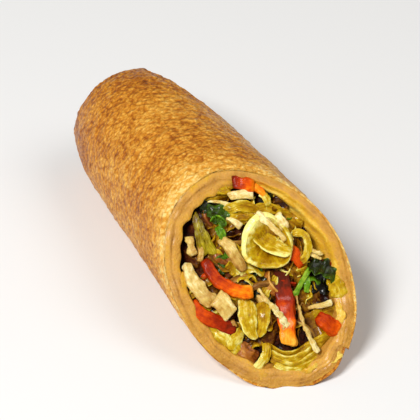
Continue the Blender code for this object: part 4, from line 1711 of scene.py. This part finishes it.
# The smaller pieces, joined into one piece of each kind.
SMALL: dict[str, tuple[Kind, list[Shred | Cup]]] = {
    "carrot_bits": (Kind.CARROT, [
        Shred(((-0.6, 19.2, -0.9), (1.0, 18.2, -0.5), (2.3, 16.9, -0.9)), 1.8, 1.3, edges=0.4,
            taper=(1.0, 0.6), tone=(0.75, 0.9), salt=21),
        Shred(((7.4, 5.4, -1.4), (8.8, 3.7, -0.8), (10.1, 1.7, -1.4)), 2.7, 1.6, edges=0.38,
            taper=(0.8, 1.0), tone=(0.6, 0.45), slant=0.3, salt=22),
        Shred(((14.4, 2.7, -1.9), (15.6, 2.3, -1.6), (16.8, 1.7, -2.0)), 1.1, 1.0, tone=(0.1, 0.2),
            salt=23),
    ]),
    "cabbage_leaves": (Kind.CABBAGE, [
        Shred(((1.3, 17.7, -0.7), (2.5, 16.4, -0.2), (2.9, 14.7, -0.8)), 2.3, 0.7, roll=15, curl=-60,
            taper=(0.8, 0.6), tone=(0.85, 0.8), salt=31),
        Shred(((8.0, 8.6, -0.8), (10.8, 8.0, 0.0), (11.2, 5.0, 0.0), (9.6, 2.8, -0.7)), 1.7, 0.9,
            roll=20, curl=50, tone=(0.7, 0.66), rim=0.1, ragged=0.08, salt=32),
        Shred(((-12.4, -10.8, -1.8), (-8.8, -13.0, -1.0), (-4.8, -17.2, -1.5)), 5.4, 0.5, roll=-14,
            curl=-40, taper=(0.6, 0.9), plan=3.5, tone=(0.84, 0.74), rim=0.18, ruffle=0.3, ragged=0.1,
            salt=33),
        Shred(((-3.4, -11.9, -1.2), (-4.6, -13.8, -0.6), (-5.7, -16.2, -1.2)), 2.7, 0.6, roll=12,
            curl=-60, plan=4, tone=(0.66, 0.8), rim=0.15, ragged=0.08, salt=34),
        Shred(((2.4, -15.2, -1.8), (7.0, -17.2, -1.3), (12.4, -14.2, -1.9)), 1.6, 0.5, roll=-30,
            curl=40, tone=(0.6, 0.7), rim=0.15, ragged=0.08, salt=35),
        Shred(((2.6, -16.5, -1.5), (7.4, -18.4, -1.0), (13.0, -15.3, -1.6)), 1.8, 0.5, roll=-20,
            curl=40, tone=(0.72, 0.66), rim=0.15, ragged=0.08, salt=36),
        Shred(((3.0, -17.8, -1.3), (7.8, -19.6, -0.8), (13.3, -16.6, -1.4)), 1.8, 0.5, roll=-30,
            curl=40, tone=(0.62, 0.74), rim=0.15, ragged=0.08, salt=63),
        Shred(((3.6, -19.2, -1.2), (8.2, -20.8, -0.7), (13.2, -18.2, -1.3)), 1.8, 0.5, roll=-15,
            curl=40, tone=(0.75, 0.66), rim=0.1, ragged=0.08, salt=64),
        Shred(((1.9, -14.7, -0.9), (1.4, -17.6, -0.2), (-0.7, -20.7, -1.0)), 3.2, 0.6, roll=10,
            curl=-70, taper=(0.8, 0.7), plan=4, tone=(0.5, 0.9), rim=0.1, ragged=0.1, salt=37),
        Shred(((16.0, -0.4, -1.8), (17.6, -2.6, -1.0), (17.9, -5.4, -1.6)), 3.6, 1.4, edges=0.6,
            tone=(0.6, 0.7), lumps=0.14, ragged=0.1, salt=38),
        Shred(((10.6, -12.6, -2.4), (14.6, -10.6, -1.9), (18.4, -9.8, -2.4)), 7.0, 0.6, curl=50,
            ruffle=0.4, plan=4, tone=(0.62, 0.72), ragged=0.08, salt=39),
        Shred(((-8.9, 19.2, -1.7), (-7.2, 18.3, -1.1), (-5.4, 18.7, -1.5)), 2.0, 0.7, roll=14, curl=60,
            plan=4, tone=(0.5, 0.65), ragged=0.1, salt=40),
        Shred(((10.0, -1.0, -2.2), (10.0, -3.4, -1.8), (11.4, -5.8, -2.0)), 2.6, 0.6, curl=-40, plan=4,
            tone=(0.5, 0.55), ragged=0.1, salt=41),
        Shred(((4.4, 3.0, -1.8), (8.6, 0.6, -1.4), (8.6, -3.6, -2.2)), 1.7, 0.6, plan=4,
            tone=(0.45, 0.5), ragged=0.1, salt=42),
        Shred(((-1.4, 12.6, -1.3), (2.4, 14.4, -0.9), (6.6, 12.6, -1.5)), 2.2, 0.5, curl=60, plan=4,
            tone=(0.5, 0.6), rim=0.1, ragged=0.1, salt=43),
        Shred(((9.5, -17.0, -1.6), (13.6, -14.6, -1.2), (16.2, -13.8, -2.0)), 2.6, 0.6, roll=-20,
            plan=4, tone=(0.66, 0.62), ragged=0.08, salt=44),
        Shred(((-9.4, 5.6, -2.0), (-5.6, 3.4, -1.5), (-1.0, 3.6, -2.1)), 5.5, 0.5, curl=50, plan=3,
            tone=(0.34, 0.42), ruffle=0.4, ragged=0.15, salt=45),
        Shred(((-5.0, -0.6, -2.2), (-2.4, -1.2, -1.6), (1.4, 0.2, -2.2)), 3.4, 0.5, curl=-60, plan=3,
            tone=(0.4, 0.3), ruffle=0.4, ragged=0.15, salt=46),
        Shred(((3.0, 14.6, -1.9), (6.6, 12.0, -1.4), (9.8, 9.4, -2.0)), 4.4, 0.5, curl=50, plan=3,
            tone=(0.6, 0.56), ruffle=0.4, ragged=0.12, salt=47),
        Shred(((-13.6, -8.4, -2.6), (-9.6, -6.4, -2.2), (-5.4, -4.4, -2.6)), 4.0, 0.5, curl=40, plan=3,
            tone=(0.4, 0.45), ruffle=0.4, ragged=0.15, salt=48),
        Shred(((6.6, 8.4, -1.9), (9.4, 6.2, -1.6), (12.6, 2.8, -2.2)), 3.6, 0.5, curl=-50, plan=3,
            tone=(0.5, 0.56), ruffle=0.4, ragged=0.15, salt=49),
    ]),
    "rib_pieces": (Kind.RIB, [
        Shred(((-5.6, 16.9, -0.5), (-3.0, 17.4, 0.2), (-0.4, 17.3, -0.4)), 1.9, 1.3, edges=0.38,
            tone=(0.8, 0.9), blunt=0.3, slant=0.2, salt=51),
        Shred(((-10.2, 15.9, -1.2), (-7.5, 15.7, -0.6), (-4.9, 14.9, -0.8)), 1.2, 0.7, taper=(0.3, 1.0),
            tone=(0.9, 0.8), salt=52),
        Shred(((-6.2, 12.4, -0.9), (-4.6, 11.5, -0.4), (-3.0, 10.4, -0.8)), 1.8, 0.9, taper=(0.4, 1.0),
            tone=(0.9, 0.85), salt=53),
        Shred(((-14.3, 8.5, -1.6), (-14.0, 6.5, -1.0), (-13.4, 4.4, -1.5)), 1.9, 1.3, edges=0.6,
            tone=(0.8, 0.66), blunt=0.6, lumps=0.12, salt=54),
        Shred(((-12.1, 6.9, -1.9), (-11.9, 5.0, -1.2), (-12.3, 3.1, -1.5)), 1.3, 1.0, edges=0.6,
            tone=(0.5, 0.6), lumps=0.1, salt=55),
        Shred(((0.0, 13.1, 0.4), (3.0, 10.6, 1.2), (6.2, 7.1, 0.5)), 1.9, 1.0, roll=-20,
            taper=(0.9, 0.5), tone=(0.95, 0.8), lumps=0.08, salt=56),
        Shred(((4.4, 12.8, -0.3), (5.5, 11.3, 0.4), (6.3, 9.6, -0.2)), 2.5, 1.3, edges=0.45,
            taper=(0.9, 0.7), tone=(0.95, 0.85), lumps=0.1, salt=57),
        Shred(((6.1, 9.8, -0.5), (7.0, 8.1, -0.1), (7.7, 6.3, -0.6)), 1.2, 0.8, tone=(0.66, 0.55),
            salt=58),
        Shred(((11.0, -7.4, -1.0), (13.6, -6.9, -0.3), (16.4, -6.2, -0.9)), 1.5, 0.8, edges=0.7,
            taper=(0.45, 1.0), plan=5, tone=(0.55, 1.0), ragged=0.05, salt=59),
        Shred(((-5.7, -9.7, -0.9), (-5.3, -10.5, -0.6), (-4.9, -11.3, -0.9)), 1.3, 1.0, tone=(0.3, 0.5),
            salt=60),
    ]),
    "sprouts": (Kind.RIB, [
        Shred(((0.3, -3.0, 0.3), (2.6, -6.6, 1.3), (6.6, -11.2, 1.1)), 1.5, 0.7, roll=15, edges=0.8,
            taper=(0.35, 1.1), tone=(0.7, 0.95), curl=50, ragged=0.22, lumps=0.16, salt=71),
        Shred(((3.2, -7.0, 1.0), (5.0, -9.4, 1.5), (5.3, -12.2, 0.9)), 1.1, 0.6, edges=0.8,
            taper=(1.1, 0.4), tone=(0.85, 0.7), ragged=0.22, lumps=0.16, salt=72),
        Shred(((8.6, -4.6, -0.7), (10.0, -11.0, 0.5), (13.0, -17.0, 0.1)), 1.1, 0.7, roll=20, edges=0.8,
            taper=(0.4, 1.3), tone=(0.55, 0.98), curl=40, ragged=0.2, lumps=0.16, salt=73),
        Shred(((11.3, 5.6, -1.0), (12.8, 4.8, -0.5), (14.7, 4.2, -0.9)), 0.8, 0.7, edges=0.8,
            tone=(0.85, 0.8), lumps=0.14, salt=74),
        Shred(((11.6, 4.5, -1.1), (12.9, 3.8, -0.7), (14.3, 3.2, -1.0)), 0.7, 0.6, edges=0.8,
            tone=(0.85, 0.85), lumps=0.14, salt=75),
    ]),
    "greens": (Kind.GREENS, [
        Shred(((-10.4, 13.4, -1.4), (-8.4, 13.6, -0.5), (-6.4, 12.0, -0.8)), 3.4, 0.45, roll=25,
            curl=80, plan=3, tone=(0.34, 0.5), rim=0.22, ruffle=0.5, waves=2.5, ragged=0.15, salt=81),
        Shred(((-9.4, 11.6, -0.9), (-8.0, 12.2, -0.1), (-6.6, 10.6, -0.6)), 2.6, 0.45, roll=-30,
            curl=120, plan=3, tone=(0.5, 0.6), rim=0.25, ruffle=0.3, ragged=0.15, salt=82),
        Shred(((-8.4, 10.4, -0.6), (-7.6, 9.2, 0.0), (-6.8, 8.0, -0.6)), 2.1, 0.6, roll=20, curl=90,
            plan=2.6, tone=(0.66, 0.84), ragged=0.15, salt=83),
        Shred(((-12.2, 16.2, -2.0), (-10.8, 15.2, -1.3), (-9.4, 13.2, -1.6)), 3.2, 0.45, curl=-50,
            plan=3, tone=(0.22, 0.34), ruffle=0.5, waves=3, ragged=0.2, salt=84),
        Shred(((11.6, 1.2, -0.9), (9.9, -1.6, -0.2), (8.0, -4.7, -0.7)), 1.6, 0.5, roll=15, curl=40,
            taper=(0.7, 0.8), tone=(0.82, 0.9), ragged=0.06, salt=85),
        Shred(((11.2, -0.4, -1.1), (11.0, -2.2, -0.6), (10.7, -4.0, -0.9)), 1.2, 0.45, tone=(0.72, 0.9),
            ragged=0.06, salt=86),
        # A dark sheet of greens laid under the green leaf: painted shade beneath that leaf.
        Shred(((11.8, -1.6, -2.4), (14.0, -2.6, -2.0), (16.4, -3.4, -2.5)), 4.0, 0.5, plan=3,
            ruffle=0.5, tone=(0.15, 0.2), ragged=0.2, salt=87),
        Shred(((-2.2, -1.2, -2.4), (1.2, -2.4, -1.8), (4.2, -3.6, -2.4)), 4.8, 0.5, plan=3, ruffle=0.5,
            waves=3, tone=(0.42, 0.24), ragged=0.2, salt=88),
        Shred(((-1.2, -4.4, -2.6), (1.8, -5.0, -2.0), (3.6, -7.4, -2.6)), 2.8, 0.5, plan=3, ruffle=0.3,
            tone=(0.4, 0.25), ragged=0.2, salt=89),
    ]),
    "dough_flakes": (Kind.DOUGH, [
        Shred(((15.4, -18.6, -0.8), (16.8, -18.2, -0.1), (18.3, -17.4, -0.3)), 2.0, 0.4, roll=20,
            curl=60, plan=3, tone=(0.85, 1.0), ruffle=0.2, ragged=0.4, salt=191),
        Shred(((9.4, -21.2, -0.6), (11.0, -20.7, 0.1), (12.8, -19.6, -0.2)), 1.4, 0.35, roll=-20,
            curl=-50, plan=3, tone=(0.6, 0.85), ragged=0.4, salt=192),
        Shred(((17.5, -11.2, -1.0), (18.1, -8.8, -0.5), (17.8, -5.6, -0.9)), 1.9, 0.4, roll=15, curl=50,
            plan=3, tone=(0.72, 0.85), ragged=0.4, salt=193),
        Shred(((-15.4, -3.2, -0.9), (-15.9, -1.2, -0.3), (-15.9, 1.0, -0.7)), 1.1, 0.35, roll=-25,
            curl=50, plan=3, tone=(0.62, 0.56), ragged=0.25, salt=194),
        Shred(((-1.6, -21.4, -0.7), (0.6, -21.9, -0.2), (3.0, -21.8, -0.6)), 1.5, 0.4, roll=-15,
            curl=50, plan=3, tone=(0.5, 0.66), ragged=0.25, salt=196),
    ]),
    "mushroom_bits": (Kind.MUSHROOM, [
        Shred(((-8.9, 5.8, -2.0), (-6.9, 3.0, -1.4), (-4.6, 0.0, -1.9)), 3.4, 0.9, curl=-40, plan=4,
            tone=(0.55, 0.45), lumps=0.1, ragged=0.1, salt=91),
        Shred(((-4.4, -15.6, -2.0), (-2.2, -16.9, -1.5), (-0.1, -18.2, -1.9)), 3.6, 0.9, edges=0.5,
            curl=-40, plan=4, tone=(0.75, 0.5), lumps=0.12, ragged=0.12, salt=92),
        Shred(((-9.2, 21.2, -2.0), (-8.2, 20.8, -1.4), (-7.0, 20.4, -1.8)), 1.7, 1.1, tone=(0.6, 0.5),
            lumps=0.12, salt=93),
        Shred(((-6.6, 21.0, -1.8), (-5.9, 20.0, -1.4), (-5.6, 19.0, -1.7)), 1.5, 0.9, tone=(0.8, 0.66),
            lumps=0.12, salt=94),
    ]),
}


@dataclass
class Filling(Part):
    """Everything in the cut face: the large pieces, the smaller ones and the litter between.

    Args:
        litter_count: How many shreds lie between the larger pieces.
        clear: Middle and radius, in millimetres in the face, of the cup that stays clear of them.
        gap: Where the filling has shrunk from the wall and none lie: left of the first, in
            millimetres in the face, and above the second.
        half_axes: Of the cavity's ellipse in the face, in millimetres, the longer one upwards.
        lean: Cosine and sine of the angle by which the ellipse leans to the left.
        run_back: How far the cavity lies to the right and up for each unit out of the face.
    """

    litter_count: int = 300
    clear: tuple[float, float, float] = (2.0, 7.0, 4.6)
    gap: tuple[float, float] = (-10.5, -2.0)
    half_axes: tuple[float, float] = (14.6, 20.6)
    lean: tuple[float, float] = (0.90, 0.43)
    run_back: tuple[float, float] = (0.50, -0.93)

    def dress(
        self, name: str, kind: Kind, shapes: list[Shred | Cup], nodes: tuple[str, ...]
    ) -> bpy.types.Object:
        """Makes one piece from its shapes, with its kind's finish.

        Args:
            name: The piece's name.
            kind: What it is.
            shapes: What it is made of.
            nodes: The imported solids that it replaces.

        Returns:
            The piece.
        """
        finish, slot = kind.value
        material = bpy.data.materials.get(finish.name) or finish.material()
        piece = make_object(name, [shape.surface(self.place) for shape in shapes])
        finish_piece(piece, material, nodes)
        return piece

    def litter(self) -> dict[Kind, list[Shred]]:
        """Shreds that lie deep between the larger pieces, each with a place and lie of its own.

        The places fill the cavity's section, an ellipse that leans to the left in the face.

        Returns:
            The shreds of each kind.
        """
        random = np.random.default_rng(20)
        choice = [Kind.CABBAGE] * 14 + [Kind.MUSHROOM] * 2 + [Kind.GREENS] * 2
        choice += [Kind.CARROT] + [Kind.RIB] * 3
        found: dict[Kind, list[Shred]] = {}
        for number in range(self.litter_count):
            kind = choice[random.integers(len(choice))]
            leafy = kind in (Kind.CABBAGE, Kind.GREENS)
            away, turn = math.sqrt(random.random()) * 0.93, random.random() * math.tau
            x = self.half_axes[0] * away * math.cos(turn)
            y = self.half_axes[1] * away * math.sin(turn)
            out = random.uniform(-3.0, -1.2) - 0.9 * away
            right = x * self.lean[0] - y * self.lean[1] + self.run_back[0] * out
            up = x * self.lean[1] + y * self.lean[0] + self.run_back[1] * out
            lie, half = random.random() * math.tau, random.uniform(1.4, 3.8)
            step = np.array([math.cos(lie), math.sin(lie), random.uniform(-0.3, 0.3)]) * half
            bow = random.uniform(-1.4, 1.4)
            middle = np.array([right - bow * step[1] * 0.3, up + bow * step[0] * 0.3, out + 0.4])
            ends = (np.array([right, up, out]) - step, np.array([right, up, out]) + step)
            width = random.uniform(1.0, 3.2) if leafy else random.uniform(0.8, 1.8)
            depth = random.uniform(0.35, 0.6) if leafy else random.uniform(0.6, 1.1)
            low = random.uniform(0.15, 0.85)
            shred = Shred(
                (tuple(ends[0]), tuple(middle), tuple(ends[1])),
                width,
                depth,
                roll=random.uniform(-60, 60),
                twist=random.uniform(-70, 70),
                curl=random.uniform(-120, 120),
                plan=random.uniform(3.0, 9.0),
                tone=(low, low + random.uniform(-0.2, 0.2)),
                rim=0.15,
                ruffle=0.4 if leafy else 0.0,
                ragged=0.2 if leafy else 0.08,
                fine=False,
                salt=100 + number,
            )
            in_cup = math.hypot(right - self.clear[0], up - self.clear[1]) < self.clear[2]
            in_gap = right < self.gap[0] and up > self.gap[1]
            if not (in_cup or in_gap):
                found.setdefault(kind, []).append(shred)
        return found

    def build(self) -> None:
        """Makes the large pieces, then the small ones, then the litter."""
        for name, (kind, shapes) in LARGE.items():
            self.dress(name + "_cut", kind, shapes, (name,))
        for name, (kind, shapes) in SMALL.items():
            self.dress(name, kind, shapes, ())
        for kind, shapes in self.litter().items():
            self.dress(f"litter_{kind.name.lower()}", kind, shapes, ())


# ---------------------------------------------------------------- the studio


@dataclass
class Studio:
    """A pale floor, soft lights and the camera.

    Args:
        azimuth: Of the camera from -Y, in degrees.
        elevation: Of the camera, in degrees.
        roll: Of the camera, in degrees.
        distance: From the middle of the piece.
        lens: In millimetres, for a 36 mm film.
    """

    azimuth: float = -29.2
    elevation: float = 39.5
    roll: float = 4.7
    distance: float = 0.695
    lens: float = 270.0

    def spot(self, azimuth: float, elevation: float, distance: float, target: Vector) -> Vector:
        """A place round a target.

        Args:
            azimuth: From -Y, in degrees.
            elevation: In degrees.
            distance: From the target.
            target: The middle.

        Returns:
            The place.
        """
        a, e = math.radians(azimuth), math.radians(elevation)
        return target + distance * Vector(
            (math.sin(a) * math.cos(e), -math.cos(a) * math.cos(e), math.sin(e))
        )

    def aim(self, thing: bpy.types.Object, target: Vector, roll: float = 0.0) -> None:
        """Turns a light or the camera towards a point, and rolls it about its own view.

        Args:
            thing: What is turned.
            target: The point.
            roll: In degrees.
        """
        look = (target - thing.location).to_track_quat("-Z", "Y")
        thing.rotation_euler = (look @ Quaternion((0, 0, 1), math.radians(roll))).to_euler()

    def floor(self) -> None:
        """A large pale floor."""
        mesh = bpy.data.meshes.new("floor")
        half = 3.0
        corners = [(-half, -half, 0), (half, -half, 0), (half, half, 0), (-half, half, 0)]
        mesh.from_pydata(corners, [], [(0, 1, 2, 3)])
        made = bpy.data.objects.new("floor", mesh)
        bpy.context.scene.collection.objects.link(made)
        material = bpy.data.materials.new("matt_white_paper")
        material.use_nodes = True
        shader = material.node_tree.nodes["Principled BSDF"]
        shader.inputs["Base Color"].default_value = linear("#ECEBE9")
        shader.inputs["Roughness"].default_value = 0.85
        mesh.materials.append(material)

    def light(
        self, name: str, place: tuple[float, float, float], size: float, watts: float, target: Vector
    ) -> None:
        """A square soft light, turned to the target.

        Args:
            name: What it is.
            place: Azimuth, elevation and distance from the target.
            size: Of its side.
            watts: Its power.
            target: What it lights.
        """
        data = bpy.data.lights.new(name, "AREA")
        data.shape, data.size, data.energy = "SQUARE", size, watts
        made = bpy.data.objects.new(name, data)
        bpy.context.scene.collection.objects.link(made)
        made.location = self.spot(*place, target)
        self.aim(made, target)

    def build(self) -> None:
        """Sets up the floor, the lights, the surroundings and the camera."""
        low, high = (Vector(corner) for corner in CAD_BOX)
        target = (low + high) / 2
        self.floor()
        self.light("key_softbox", (-62, 50, 0.9), 0.25, 7.9, target)
        self.light("fill_softbox", (55, 60, 0.9), 0.5, 2.3, target)
        world = bpy.data.worlds.new("studio")
        world.use_nodes = True
        world.node_tree.nodes["Background"].inputs["Color"].default_value = linear("#FFFFFF")
        world.node_tree.nodes["Background"].inputs["Strength"].default_value = 0.18
        bpy.context.scene.world = world
        bpy.context.scene.view_settings.view_transform = "Standard"
        data = bpy.data.cameras.new("camera")
        data.lens, data.clip_start, data.clip_end = self.lens, 0.01, 20.0
        camera = bpy.data.objects.new("camera", data)
        bpy.context.scene.collection.objects.link(camera)
        camera.location = self.spot(self.azimuth, self.elevation, self.distance, target)
        self.aim(camera, target, self.roll)
        bpy.context.scene.camera = camera


def main() -> None:
    """Builds the wrapper, the filling and the studio."""
    logging.basicConfig(level=logging.INFO, format="%(message)s")
    form = RollForm()
    place = Place(form)
    OuterLayer(form, place).build()
    InnerLayers(form, place).build()
    FillingCore(form, place).build()
    Filling(form, place).build()
    Studio().build()


if __name__ == "__main__":
    main()
